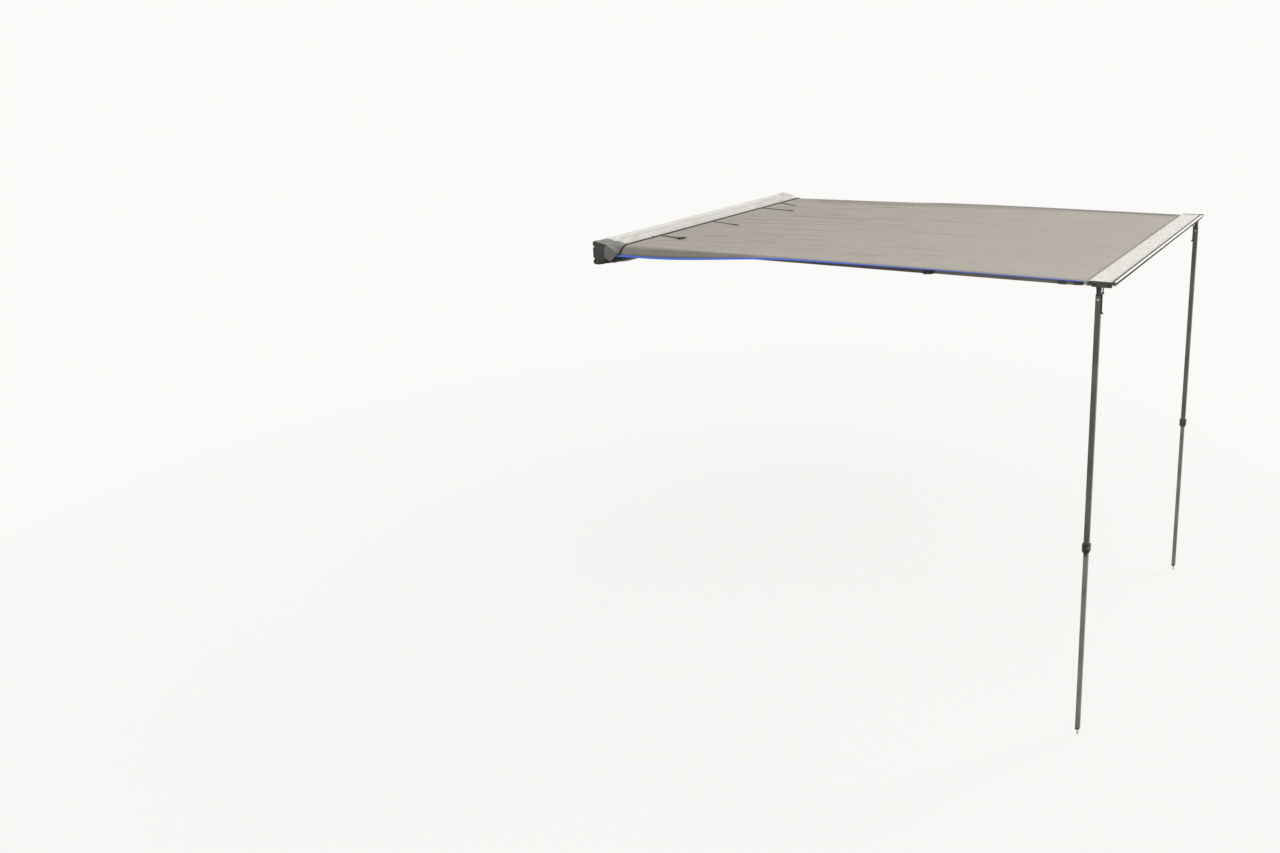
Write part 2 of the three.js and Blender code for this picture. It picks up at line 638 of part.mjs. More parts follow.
function leadRail() {
  const innerFrom = railInner + rail.innerWall;
  const outerFrom = railInner + rail.outerWall - rail.wall;
  const beadFrom = projection - rail.bead;
  const joinAngle = Math.asin((railUnder - rail.trackUp) / rail.trackRing);
  const top = [];
  const topNotch = (out, width, depth) =>
    notch(point(out, rail.topUp), quarter, squareNotch(width, depth));
  for (const pitch of [0, rail.groovePitch]) {
    top.push(...topNotch(projection - rail.grooveFromEdge - pitch, rail.grooveWidth, rail.grooveDepth));
  }
  for (let i = 0; i < rail.ribs; i++) {
    const out = railInner + rail.ribsFrom + (rail.ribs - i) * rail.ribPitch;
    top.push(...topNotch(out, rail.ribValley, rail.ribDepth));
  }
  const mouth = point(trackOut - rail.trackRing, rail.trackUp);
  return alongX(outline([
    point(innerFrom, rail.bottomUp), point(innerFrom + rail.wall, rail.bottomUp),
    point(innerFrom + rail.wall, railUnder), point(beadFrom, railUnder),
    point(beadFrom, rail.beadUp), point(outerFrom, rail.beadUp), point(outerFrom, rail.outerUp),
    point(outerFrom + rail.wall, rail.outerUp), point(outerFrom + rail.wall, rail.beadUp),
    point(projection, rail.beadUp + rail.corner),
    ...arc(projection - rail.corner, rail.topUp - rail.corner, rail.corner, 0, quarter, cornerSteps),
    ...top,
    point(trackOut, rail.topUp - rail.ribDepth),
    ...arc(trackOut, rail.trackUp, rail.trackRing, quarter, Math.PI, cornerSteps * 2).slice(0, -1),
    ...notch(mouth, Math.PI, keyholeNotch(railTrack)),
    ...arc(trackOut, rail.trackUp, rail.trackRing, Math.PI, turn + joinAngle, cornerSteps * 4).slice(1),
    point(innerFrom, railUnder),
  ]), -railHalf, railHalf);
}

// Where the arm's hook holds the rail: the middle of the peg, in the awning's frame
function pegPlace(side) {
  return new THREE.Vector3(0, -armReach - hook.reach, hook.lift).applyMatrix4(armFrame(side));
}

function railEndCap(side) {
  const { sign } = side;
  const at = pegPlace(side);
  const inner = railHalf + touchGap;
  const low = railCap.low;
  const capInner = railInner + railCap.inner;
  const capOuter = railInner + railCap.outer;
  const tabFrom = railInner + railCap.tabFrom;
  const lipFrom = railInner + railCap.lipFrom;
  const block = outline([
    ...arc(capInner + railCap.corner, low + railCap.corner, railCap.corner,
      Math.PI, 3 * quarter, cornerSteps),
    ...arc(capOuter - railCap.corner, low + railCap.corner, railCap.corner, -quarter, 0, cornerSteps),
    point(capOuter, railCap.tabLow),
    ...arc(projection, railCap.tabLow + plate.corner, plate.corner, -quarter, 0, cornerSteps),
    ...arc(projection, railCap.tab - plate.corner, plate.corner, 0, quarter, cornerSteps),
    point(tabFrom, railCap.tab), point(tabFrom - plate.corner, railCap.high),
    point(lipFrom + plate.corner, railCap.high), point(lipFrom, railCap.high - plate.corner),
    point(lipFrom, railCap.high - railCap.lip), point(capInner, railCap.high - railCap.lip),
  ]);
  const span = (from, to) => (sign > 0 ? [from, to] : [-to, -from]);
  const earSpan = span(inner, inner + railCap.ear);
  const pegOut = -at.y;
  const root = [railInner + railCap.earFrom, railCap.earLow, railCap.earHigh];
  const away = Math.atan2((root[1] + root[2]) / 2 - at.z, root[0] - pegOut);
  const ear = outline([
    ...arc(pegOut, at.z, railCap.eye, away + quarter, away + 3 * quarter, roundSteps / 2),
    point(root[0], root[1]), point(root[0], root[2]),
  ]);
  const hole = alongX(outline(circle(pegOut, at.z, peg.radius + touchGap)),
    ...span(inner - overrun, inner + railCap.ear + overrun));
  return cut(join(alongX(block, ...span(inner, inner + railCap.thickness)), alongX(ear, ...earSpan)), hole,
    alongX(outline(circle(pegOut, at.z, peg.head + touchGap)),
      ...span(inner + railCap.ear + touchGap, inner + railCap.thickness + overrun)));
}

// The steel peg along X that the hook holds, headed on the outside of the cap's ear
function hookPeg(side) {
  const { sign } = side;
  const at = pegPlace(side);
  const innerEnd = awningLength / 2 - peg.inner;
  const headFrom = railHalf + touchGap + railCap.ear + touchGap * 2;
  const headTo = headFrom + peg.headHeight;
  const profile = [[0, innerEnd], [peg.radius - touchGap, innerEnd], [peg.radius, innerEnd + touchGap * 2],
    [peg.radius, headFrom], [peg.head, headFrom], [peg.head, headTo], [0, headTo]];
  const geometry = revolved(profile, aboutX);
  return (sign > 0 ? geometry : geometry.rotateZ(Math.PI)).translate(0, at.y, at.z);
}

const railGroup = new THREE.Group();
add(railGroup, 'lead_rail', leadRail(), finishes.silver);
for (const side of sides) {
  add(railGroup, `rail_end_cap_${side.name}`, railEndCap(side), finishes.charcoalPlastic);
  add(railGroup, `hook_peg_${side.name}`, hookPeg(side), finishes.steel);
}
awning.add(railGroup);

// Legs

const legLength = mountHeight + leg.pivotUp;

// The lug that hangs from the rail's roof between the fork's tines, with its screwed-on flange
function legLug(keeperSign) {
  const roof = railUnder - touchGap - leg.pivotUp;
  const flangeLow = roof - lug.flange;
  const web = alongOut(outline([
    ...arc(0, 0, lug.eye, Math.PI, turn, roundSteps / 2),
    point(lug.eye, lug.eye), point(lug.topHalf, flangeLow), point(lug.topHalf, roof),
    point(-lug.topHalf, roof), point(-lug.topHalf, flangeLow), point(-lug.eye, lug.eye),
  ]), -lug.half, lug.half);
  const [near, far] = keeperSign > 0 ? [-lug.near, lug.far] : [-lug.far, lug.near];
  const flange = alongOut(outline(box(-lug.flangeHalf, lug.flangeHalf, flangeLow, roof)), near, far);
  const hole = alongOut(outline(circle(0, 0, head.pin + touchGap)),
    -lug.half - overrun, lug.half + overrun);
  return cut(join(web, flange), hole);
}

function legPin() {
  const end = head.tineHalf + touchGap;
  return revolved([[0, -end - head.pinHeadHeight], [head.pinHead, -end - head.pinHeadHeight],
    [head.pinHead, -end], [head.pin, -end], [head.pin, end], [head.pinHead, end],
    [head.pinHead, end + head.pinHeadHeight], [0, end + head.pinHeadHeight]], aboutOut);
}

// The rubber strap that hangs from the lug's flange and ties the folded leg up
function keeperStrap(keeperSign) {
  const start = railUnder - touchGap - leg.pivotUp - lug.flange - touchGap;
  const near = leg.outer / 2 + keeper.gap;
  const steps = roundSteps / 2;
  const standOff = (share) =>
    near + keeper.lead * (1 - THREE.MathUtils.smoothstep(share, 0, keeper.hugShare));
  const sections = Array.from({ length: steps + 1 }, (_, i) => {
    const share = i / steps;
    const up = start - share * keeper.length;
    const out = standOff(share) + keeper.thickness / 2;
    return roundedBox(-keeper.width / 2, keeper.width / 2, -keeper.thickness / 2, keeper.thickness / 2,
      keeper.thickness / 4).map((p) => new THREE.Vector3(p.x, -keeperSign * (out + p.y), up));
  });
  const knobAt = (drop) => new THREE.SphereGeometry(keeper.knob, cornerSteps * 4, cornerSteps * 3)
    .translate(0, -keeperSign * (standOff(drop / keeper.length) + keeper.knob), start - drop);
  return join(loft(sections), knobAt(keeper.knobAt), knobAt(keeper.length));
}

// The fork head: two tines round the lug, a neck narrower than the tube, and a plug inside it
function legHead() {
  const tubeHalf = leg.outer / 2;
  const plugHalf = tubeHalf - leg.outerWall - slideGap;
  const front = outline([
    ...arc(0, 0, head.eye, Math.PI, turn, roundSteps / 2), point(tubeHalf, head.tubeAt - leg.corner),
    point(tubeHalf, head.tubeAt), point(-tubeHalf, head.tubeAt), point(-tubeHalf, head.tubeAt - leg.corner),
  ]);
  const flare = new THREE.QuadraticBezierCurve(point(head.neckHalf, head.neck),
    point(head.neckHalf, head.flareAt), point(tubeHalf, head.tubeAt)).getPoints(cornerSteps * 2);
  const edge = [point(head.tineHalf, -head.eye), point(head.tineHalf, 0), ...flare];
  const side = outline([...edge, ...edge.map((p) => point(-p.x, p.y)).reverse()]
    .map((p) => point(p.y, p.x)));
  const body = common(alongUp(front, -tubeHalf, tubeHalf),
    alongX(side, -tubeHalf - overrun, tubeHalf + overrun));
  const plug = alongOut(outline(roundedBox(-plugHalf, plugHalf, -plugHalf, plugHalf,
    leg.corner - leg.outerWall)), head.tubeAt - overrun, head.tubeAt + head.plug);
  const throat = alongUp(outline([...box(-tubeHalf - overrun, tubeHalf + overrun, -head.eye - overrun,
    head.throat)]), -head.tineGap, head.tineGap);
  const pinHole = alongUp(outline(circle(0, 0, head.pin + touchGap)),
    -tubeHalf - overrun, tubeHalf + overrun);
  return join(cut(join(body, plug), throat, pinHole), headRivet());
}

function rivetHole() {
  return alongX(outline(circle(head.rivetAt, 0, head.rivet + touchGap)), -leg.outer, leg.outer);
}

function headRivet() {
  const end = leg.outer / 2 + touchGap;
  return revolved([[0, -end - head.rivetHeadHeight], [head.rivet, -end - head.rivetHeadHeight],
    [head.rivetHead, -end], [head.rivet, -end], [head.rivet, end], [head.rivetHead, end],
    [head.rivet, end + head.rivetHeadHeight], [0, end + head.rivetHeadHeight]], aboutX)
    .translate(0, -head.rivetAt, 0);
}

const footAt = legLength - foot.spike - foot.cap;

// The foot: a plug in the tube's end with one corner bevelled and a steel spike moulded in
function legFoot() {
  const half = leg.inner / 2;
  const tongueHalf = half - leg.innerWall - slideGap;
  const cap = alongX(outline([point(footAt, -half), point(footAt + foot.cap, -half),
    point(footAt + foot.cap, half - foot.chamfer), point(footAt + foot.cap - foot.chamfer, half),
    point(footAt, half)]), -half, half);
  const tongue = alongOut(outline(roundedBox(-tongueHalf, tongueHalf, -tongueHalf, tongueHalf,
    leg.corner - leg.innerWall)), footAt - foot.tongue, footAt + overrun);
  return join(cap, tongue, footSpike());
}

function footSpike() {
  const inside = footAt;
  const shoulder = legLength - foot.point * 2;
  return revolved([[0, inside], [foot.spikeRadius, inside], [foot.spikeRadius, shoulder - foot.point],
    [foot.spikeBulb, shoulder], [foot.spikeBulb, shoulder + foot.point],
    [foot.spikeRadius / 2, legLength], [0, legLength]], aboutOut);
}

for (const { name, sign, lane, keeperSign } of sides) {
  const x = sign * (awningLength / 2 - leg.pivotInset);
  const hung = new THREE.Group();
  hung.position.set(x, -lane, leg.pivotUp);
  add(hung, `leg_lug_${name}`, legLug(keeperSign), finishes.charcoalPlastic);
  add(hung, `leg_pivot_pin_${name}`, legPin(), finishes.steel);
  add(hung, `leg_keeper_strap_${name}`, keeperStrap(keeperSign), finishes.blackRubber);

  const legGroup = new THREE.Group();
  legGroup.position.set(x, -lane, leg.pivotUp);
  legGroup.rotation.x = quarter;
  const collar = { outer: leg.outer, inner: leg.inner, from: leg.clampAt, length: leg.clampLength,
    sign, flare: leg.clampFlare };
  const tubeTo = leg.clampAt + leg.clampLength - clamp.lip - touchGap;
  add(legGroup, `leg_fork_head_${name}`, legHead(), finishes.charcoalPlastic);
  add(legGroup, `leg_outer_tube_${name}`, cut(tube(leg.outer, leg.outerWall, leg.corner,
    head.tubeAt + touchGap, tubeTo), rivetHole()), finishes.charcoalTube);
  add(legGroup, `leg_clamp_collar_${name}`, clampCollar(collar), finishes.charcoalPlastic);
  add(legGroup, `leg_clamp_lever_${name}`, clampLever(collar), finishes.charcoalPlastic);
  add(legGroup, `leg_inner_tube_${name}`, tube(leg.inner, leg.innerWall, leg.corner - leg.outerWall,
    tubeTo - leg.overlap, footAt - touchGap), finishes.charcoalTube);
  add(legGroup, `leg_foot_${name}`, legFoot(), finishes.charcoalPlastic);
  awning.add(hung, legGroup);
}

// Canopy

const smooth = THREE.MathUtils.smoothstep;
const canopyFrom = faceOut + keder.reach;
const canopyTo = railInner - keder.reach;
const canopyHalf = awningLength / 2 - canopy.edgeInset;

// Where the cloth leaves the arm that it lies on
function armLine(out) {
  return THREE.MathUtils.mapLinear(out, arm.pivotOut, tipOut, pivotX, tipX) + canopy.droopClear;
}

// How far a place lies outside the arm, from 0 there to 1 at the cloth's edge
function outsideArm(x, out) {
  return Math.max(0, (Math.abs(x) - armLine(out)) / (canopyHalf - armLine(out)));
}

function canopyUp(x, out) {
  const share = THREE.MathUtils.clamp((out - canopyFrom) / (canopyTo - canopyFrom), 0, 1);
  const base = THREE.MathUtils.lerp(canopyGroove.up, rail.trackUp, share);
  const crown = canopy.crown * 4 * share * (1 - share);
  const fan = Math.atan2(out, x + awningLength / 2);
  const ripple = canopy.ripple * Math.sin(Math.PI * share) * Math.sin(canopy.ripples * fan);
  const near = smooth(out, canopy.droopFrom, canopy.droopFull);
  const fade = 1 - smooth(out, canopy.droopFade, canopy.droopEnd);
  return base + crown + ripple - canopy.droop * near * fade * Math.pow(outsideArm(x, out), 1.5);
}

function canopyPoint(x, out, lift = 0) {
  return new THREE.Vector3(x, -out, canopyUp(x, out) + lift);
}

// The column at a share of the cloth's width: the outer columns start on the arms' lines
function canopyX(share, out) {
  const outer = canopy.edgeColumns / canopy.columns;
  const centred = 2 * share - 1;
  const inside = 1 - 2 * outer;
  const line = armLine(out);
  if (Math.abs(centred) <= inside) return line * centred / inside;
  return Math.sign(centred) * THREE.MathUtils.mapLinear(Math.abs(centred), inside, 1, line, canopyHalf);
}

// The cloth with the cords sewn into its two long edges
function canopyCloth() {
  const outs = Array.from({ length: canopy.rows - 1 }, (_, i) =>
    THREE.MathUtils.lerp(canopyFrom, canopyTo, (i + 1) / canopy.rows));
  const plateCord = notch(point(faceOut, canopyGroove.up), 0, kederPlaces(canopyGroove));
  const railCord = notch(point(railInner, rail.trackUp), Math.PI, kederPlaces(railTrack));
  return loft(Array.from({ length: canopy.columns + 1 }, (_, i) => {
    const share = i / canopy.columns;
    const row = (out, level) =>
      canopyPoint(canopyX(share, out), out, level * canopy.thickness / 2);
    const cord = (places) => places.map((p) => new THREE.Vector3(canopyX(share, p.x), -p.x, p.y));
    return [...cord(plateCord), ...outs.map((out) => row(out, 1)), ...cord(railCord),
      ...outs.map((out) => row(out, -1)).reverse()];
  }));
}

// The blue tape sewn along each side edge
function edgeBinding(sign) {
  const inner = canopyHalf + touchGap;
  const from = faceOut + plate.capRim + touchGap;
  const to = -pegPlace(sides[0]).y - railCap.eye - touchGap;
  const sections = Array.from({ length: canopy.rows + 1 }, (_, i) => {
    const out = THREE.MathUtils.lerp(from, to, i / canopy.rows);
    const at = canopyPoint(sign * canopyHalf, out);
    return box(inner, inner + binding.width, -binding.thickness / 2, binding.thickness / 2)
      .map((p) => new THREE.Vector3(sign * p.x, -out, at.z + p.y));
  });
  return loft(sections);
}

add(awning, 'canopy', canopyCloth(), finishes.canopyCloth);
for (const { name, sign } of sides) {
  add(awning, `canopy_binding_${name}`, edgeBinding(sign), finishes.blueTape);
}

// Bag

const flapFrom = bagGroove.out - bagGroove.mouth;
const flapHalf = awningLength / 2 - bag.flapInset;
const flapBackUp = plate.height / 2 + plate.capRim + touchGap + bag.fabric / 2;

// The middle of the top flap: level with the plate's top, then down onto the canopy
function flapUp(x, out) {
  const wrinkle = bag.wrinkle * Math.sin(Math.PI * (out - flapFrom) / (bag.flapOut - flapFrom))
    * Math.sin(turn * x / bag.flapInset);
  const resting = canopyUp(Math.sign(x) * Math.min(Math.abs(x), flapHalf), out)
    + (canopy.thickness + bag.fabric) / 2 + bag.flapGap;
  return THREE.MathUtils.lerp(flapBackUp, resting, smooth(out, flapFrom, bag.flapFall)) + wrinkle;
}

function topFlap() {
  const cloth = sheet((s, t) => {
    const x = THREE.MathUtils.lerp(-flapHalf, flapHalf, s);
    const out = THREE.MathUtils.lerp(flapFrom, bag.flapOut, t);
    return new THREE.Vector3(x, -out, flapUp(x, out));
  }, bag.columns, cornerSteps * 2, bag.fabric);
  return join(cloth, kederRod(bagGroove, point(bagGroove.out, plate.height / 2), quarter, flapHalf));
}

// The height of the bag's very end, which folds down in front of the gusset
function bagEndUp(out) {
  if (out < bag.endFold) return THREE.MathUtils.mapLinear(out, 0, bag.endFold, bag.endUp, bag.endFoldUp);
  return THREE.MathUtils.mapLinear(out, bag.endFold, bag.flapOut, bag.endFoldUp, bag.endFrontUp);
}

// The triangular fold between the flap and the bag's end
function cornerFold(sign) {
  const inner = flapHalf + touchGap;
  const outer = awningLength / 2;
  return sheet((s, t) => {
    const x = THREE.MathUtils.lerp(inner, outer, s);
    const out = THREE.MathUtils.lerp(flapFrom, bag.flapOut, t);
    const fall = Math.pow(THREE.MathUtils.clamp(outsideArm(x, out), 0, 1), 1.5);
    const flat = flapUp(sign * flapHalf, out);
    return new THREE.Vector3(sign * x, -out, THREE.MathUtils.lerp(flat, bagEndUp(out), fall));
  }, cornerSteps * 3, cornerSteps * 4, bag.fabric);
}

// The zip along the flap's front edge
function zipTape() {
  const steps = bag.columns;
  const sections = Array.from({ length: steps + 1 }, (_, i) => {
    const x = THREE.MathUtils.lerp(-flapHalf, flapHalf, i / steps);
    const at = flapUp(x, bag.flapOut);
    const from = bag.flapOut + touchGap;
    return box(from, from + zip.width, -zip.thickness / 2, zip.thickness / 2)
      .map((p) => new THREE.Vector3(x, -p.x, at + p.y));
  });
  return loft(sections);
}

// The trough under the canopy that holds the arms and the rolled cloth
function pocketSection(x) {
  const rise = bag.pocketRise * smooth(Math.abs(x), bag.pocketRiseFrom, awningLength / 2);
  const start = -plate.height / 2 - plate.capRim - touchGap - bag.fabric;
  const floor = -bag.pocketFloor - bag.fabric + rise;
  const lip = -bag.pocketLip;
  const corner = (lip - floor) * bag.pocketCornerShare;
  const cornerOut = bag.pocketOut - corner;
  const cornerUp = floor + corner;
  const inside = corner - bag.fabric;
  return [
    point(bagGroove.out - bag.fabric, start), point(bagGroove.out * 3, start),
    ...arc(cornerOut, cornerUp, corner, -quarter, 0, cornerSteps * 2),
    point(bag.pocketOut, lip), point(bag.pocketOut - bag.fabric, lip),
    ...arc(cornerOut, cornerUp, inside, 0, -quarter, cornerSteps * 2),
    point(bagGroove.out * 3, start + bag.fabric), point(bagGroove.out - bag.fabric, start + bag.fabric),
  ].map((p) => new THREE.Vector3(x, -p.x, p.y));
}

function lowerPocket() {
  const half = awningLength / 2 - bag.endInset - touchGap;
  const steps = bag.columns / 2;
  const cloth = loft(Array.from({ length: steps + 1 }, (_, i) =>
    pocketSection(THREE.MathUtils.lerp(-half, half, i / steps))));
  return join(cloth, kederRod(bagGroove, point(bagGroove.out, -plate.height / 2), -quarter, kederHalf));
}

// The dark folded panel that closes the bag's end
function endGusset(sign) {
  const inner = awningLength / 2 - bag.gussetIn;
  const outer = awningLength / 2;
  const top = bag.fabric / 2 + touchGap * 2;
  const topBack = bagEndUp(flapFrom) - top;
  const topFront = bagEndUp(bag.endFold) - top;
  const rows = cornerSteps * 3;
  const sections = Array.from({ length: rows + 1 }, (_, i) => {
    const share = i / rows;
    const fold = bag.gussetFold * (i % 2);
    const back = new THREE.Vector2(THREE.MathUtils.lerp(flapFrom, bag.gussetLowOut, share),
      THREE.MathUtils.lerp(topBack, -bag.gussetLow, share));
    const front = new THREE.Vector2(THREE.MathUtils.lerp(bag.endFold, bag.gussetDeepOut, share),
      THREE.MathUtils.lerp(topFront, -bag.gussetDeep, share));
    return [[inner + fold, back], [outer, back], [outer, front], [inner + fold, front]]
      .map(([x, p]) => new THREE.Vector3(sign * x, -p.x, p.y));
  });
  return loft(sections);
}

add(awning, 'bag_top_flap', topFlap(), finishes.bagCloth);
add(awning, 'bag_zip', zipTape(), finishes.blackPlastic);
add(awning, 'bag_lower_pocket', lowerPocket(), finishes.darkCloth);
for (const { name, sign } of sides) {
  add(awning, `bag_corner_fold_${name}`, cornerFold(sign), finishes.bagCloth);
  add(awning, `bag_end_gusset_${name}`, endGusset(sign), finishes.darkCloth);
}

// Tie straps that come from under the flap and lie on the canopy

const strapLift = canopy.thickness / 2 + strap.rest + strap.thickness / 2;

function tieStrap({ alongShare, slant, width, reach }) {
  const steps = cornerSteps * 4;
  const sections = Array.from({ length: steps + 1 }, (_, i) => {
    const share = i / steps;
    const out = bag.flapOut - strap.tuck + share * (reach + strap.tuck);
    const x = awningLength * alongShare + slant * share;
    const half = width / 2;
    const corners = [[-half, -1], [half, -1], [half, 1], [-half, 1]];
    return corners.map(([across, level]) =>
      canopyPoint(x + across, out, strapLift + level * strap.thickness / 2));
  });
  return loft(sections);
}

// The two-bar buckle on the end of the first strap
function strapBuckle({ alongShare, slant, reach }) {
  const out = bag.flapOut + reach - buckle.barGap / 2;
  const x = awningLength * alongShare + slant;
  const corners = [-1, 1].flatMap((end) => [out, out + buckle.length].map((at) =>
    canopyUp(x + end * buckle.width / 2, at)));
  const lift = Math.max(...corners) + canopy.thickness / 2 + strap.rest;
  const bar = (buckle.length - 3 * buckle.barGap) / 2;
  const frame = outline(
    roundedBox(-buckle.width / 2, buckle.width / 2, 0, buckle.length, buckle.barGap / 2),
    ...[bar / 2, bar / 2 + buckle.barGap + bar].map((from) =>
      box(-buckle.width / 2 + bar, buckle.width / 2 - bar, from, from + buckle.barGap)));
  return alongUp(frame, 0, buckle.height).translate(x, -out, lift);
}

for (const tie of straps) {
  const webbing = tieStrap(tie);
  add(awning, `tie_strap_${tie.name}`, tie.buckled ? join(webbing, strapBuckle(tie)) : webbing,
    finishes.webbing);
}

export default awning;
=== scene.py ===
"""Looks of a vehicle side awning, opened out: cloth, webbing, zip, fasteners and finishes over its
solid parts. Sizes are in millimetres and meshes in metres; "out" is the way the awning opens, -Y."""
import math

import bmesh
import bpy
import numpy as np
from mathutils import Matrix, Vector


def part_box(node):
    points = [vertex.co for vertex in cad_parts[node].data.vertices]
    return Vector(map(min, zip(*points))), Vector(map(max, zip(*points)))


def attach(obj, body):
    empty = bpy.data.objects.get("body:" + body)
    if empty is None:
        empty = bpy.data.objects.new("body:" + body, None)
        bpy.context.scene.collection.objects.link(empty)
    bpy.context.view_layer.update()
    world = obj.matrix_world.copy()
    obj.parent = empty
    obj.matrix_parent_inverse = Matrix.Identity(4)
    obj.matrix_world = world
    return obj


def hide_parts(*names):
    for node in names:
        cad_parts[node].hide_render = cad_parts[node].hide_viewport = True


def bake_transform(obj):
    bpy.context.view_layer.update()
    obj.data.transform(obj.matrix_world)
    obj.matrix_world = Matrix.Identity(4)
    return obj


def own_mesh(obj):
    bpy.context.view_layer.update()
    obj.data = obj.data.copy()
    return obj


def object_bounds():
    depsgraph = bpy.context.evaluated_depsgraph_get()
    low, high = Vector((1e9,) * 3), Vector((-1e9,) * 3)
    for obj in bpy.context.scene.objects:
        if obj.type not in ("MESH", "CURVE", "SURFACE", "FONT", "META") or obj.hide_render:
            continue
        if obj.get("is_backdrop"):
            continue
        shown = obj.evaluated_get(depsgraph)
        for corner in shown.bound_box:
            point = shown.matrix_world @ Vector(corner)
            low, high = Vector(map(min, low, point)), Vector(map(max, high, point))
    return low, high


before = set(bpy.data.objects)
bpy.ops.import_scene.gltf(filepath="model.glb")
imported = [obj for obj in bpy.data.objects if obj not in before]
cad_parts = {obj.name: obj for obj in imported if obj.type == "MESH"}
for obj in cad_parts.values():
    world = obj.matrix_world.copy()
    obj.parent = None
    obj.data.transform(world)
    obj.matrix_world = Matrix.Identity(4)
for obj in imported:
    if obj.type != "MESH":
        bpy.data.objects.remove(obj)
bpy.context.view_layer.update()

MM = 0.001
ROOT = "awning_back"
RAIL = "lead_rail_unit"
SIDES = {"left": -1, "right": 1}
UP = (0.0, 0.0, 1.0)

# Camera of the photograph: place in metres, angles in radians, lens in mm
CAMERA = {"place": (-5.8055, -3.5523, 1.0232), "azimuth": -1.05973, "dip": 0.235871, "roll": -0.018735,
          "lens": 34.72, "shift": (-0.0840, -0.0751)}
FLOOR_Z = -1.950

# Canopy, as the solid model shapes it
LENGTH, FACE_OUT, RAIL_INNER = 2000, 16, 2392
CANOPY_FROM, CANOPY_TO, CANOPY_HALF = 17.5, 2390.5, 986
CANOPY_BACK_UP, CANOPY_RAIL_UP = 36, 47.5
CANOPY_THICK, CROWN, RIPPLE, RIPPLES = 1.2, 4, 1.2, 12
DROOP, DROOP_FROM, DROOP_FULL, DROOP_FADE, DROOP_END = 39, 20, 140, 300, 1120
DROOP_BEND = 3.5
# The cloth dips between the arms: deepest beside the far arm, and less towards the rail
NEAR_SAG, FAR_SAG, SAG_START, SAG_REACH = 2, 22, 60, 190
SAG_FROM, SAG_FULL, SAG_EASES, SAG_EASED, SAG_LOST = 150, 330, 700, 2300, 0.6
ARM_PIVOT_OUT, ARM_TIP_OUT, ARM_PIVOT_X, ARM_TIP_X, ARM_CLEAR = 45, 2366, 880, 968, 14
ARM_PIVOT_UP, ARM_RISE, LEG_X, LEG_PIVOT_UP = {"left": 20, "right": -10}, 16, 955, 28
LEG_OUT = {"left": 2430, "right": 2474.5}

# Bag
FLAP_FROM, FLAP_OUT, FLAP_FALL, FLAP_HALF, FLAP_BACK_UP, LID_GAP = 9.2, 150, 120, 893, 54.6, 0.8
BAG_CLOTH = 2
BAG_END_UP, BAG_END_FOLD, BAG_END_FOLD_UP, BAG_END_FRONT_UP = 59, 80, 46, 4
POCKET_OUT, POCKET_LIP, POCKET_FLOOR, POCKET_RISE, POCKET_RISE_FROM = 121, 27, 56, 17, 820
POCKET_HALF, PLATE_HALF_HEIGHT = 994.7, 52.5
GUSSET_LOW, GUSSET_LOW_OUT, GUSSET_DEEP, GUSSET_DEEP_OUT = 21, 15, 33, 73
TUCK_LOW_OUT, TUCK_LOW_UP = (71, 106), (-16, -36)


# Finishes

WAVE_TURNS = 20  # the wave texture's own rate: this many radians to the unit at scale 1
MOULD_EDGE, MOULD_EDGE_ANGLE = 0.4, 38  # mm and degrees


def linear(hex_colour):
    """An sRGB hex colour as the linear colour that the shaders take."""
    parts = [int(hex_colour[i:i + 2], 16) / 255 for i in (1, 3, 5)]
    return [p / 12.92 if p <= 0.04045 else ((p + 0.055) / 1.055) ** 2.4 for p in parts] + [1.0]


def add_node(tree, kind, inputs=None, **settings):
    """A node with its settings, and with each input set to a value or linked to another node's socket."""
    node = tree.nodes.new(kind)
    for name, value in settings.items():
        setattr(node, name, value)
    for name, value in (inputs or {}).items():
        if isinstance(value, bpy.types.NodeSocket):
            tree.links.new(value, node.inputs[name])
        else:
            node.inputs[name].default_value = value
    return node


def new_finish(name, **sockets):
    """A material with one Principled shader. Returns the material, its tree and the shader."""
    material = bpy.data.materials.new(name)
    material.use_nodes = True
    tree = material.node_tree
    shader = tree.nodes["Principled BSDF"]
    for socket, value in sockets.items():
        shader.inputs[socket.replace("_", " ")].default_value = value
    return material, tree, shader


def object_place(tree, scale):
    """Object coordinates times a scale in each direction, in repeats to the metre."""
    place = add_node(tree, "ShaderNodeTexCoord").outputs["Object"]
    return add_node(tree, "ShaderNodeMapping", {"Vector": place, "Scale": scale}).outputs["Vector"]


def noise(tree, rate, detail, **more):
    """Noise at a rate in repeats to the metre: one rate, or one for each direction."""
    scale = rate if np.ndim(rate) else (rate, rate, rate)
    return add_node(tree, "ShaderNodeTexNoise", {
        "Vector": object_place(tree, scale), "Scale": 1.0, "Detail": detail, **more}).outputs["Fac"]


def waves(tree, place, thread_mm, direction, distortion, detail):
    """Bands one thread wide across a direction."""
    rate = math.pi / (thread_mm * MM)
    return add_node(tree, "ShaderNodeTexWave", {
        "Vector": place, "Scale": rate / WAVE_TURNS, "Distortion": distortion, "Detail": detail},
        bands_direction=direction, wave_type="BANDS").outputs["Fac"]


def maths(tree, operation, first, second):
    return add_node(tree, "ShaderNodeMath", {0: first, 1: second}, operation=operation).outputs["Value"]


def mix_shaders(tree, share, first, second):
    return add_node(tree, "ShaderNodeMixShader", {0: share, 1: first, 2: second}).outputs["Shader"]


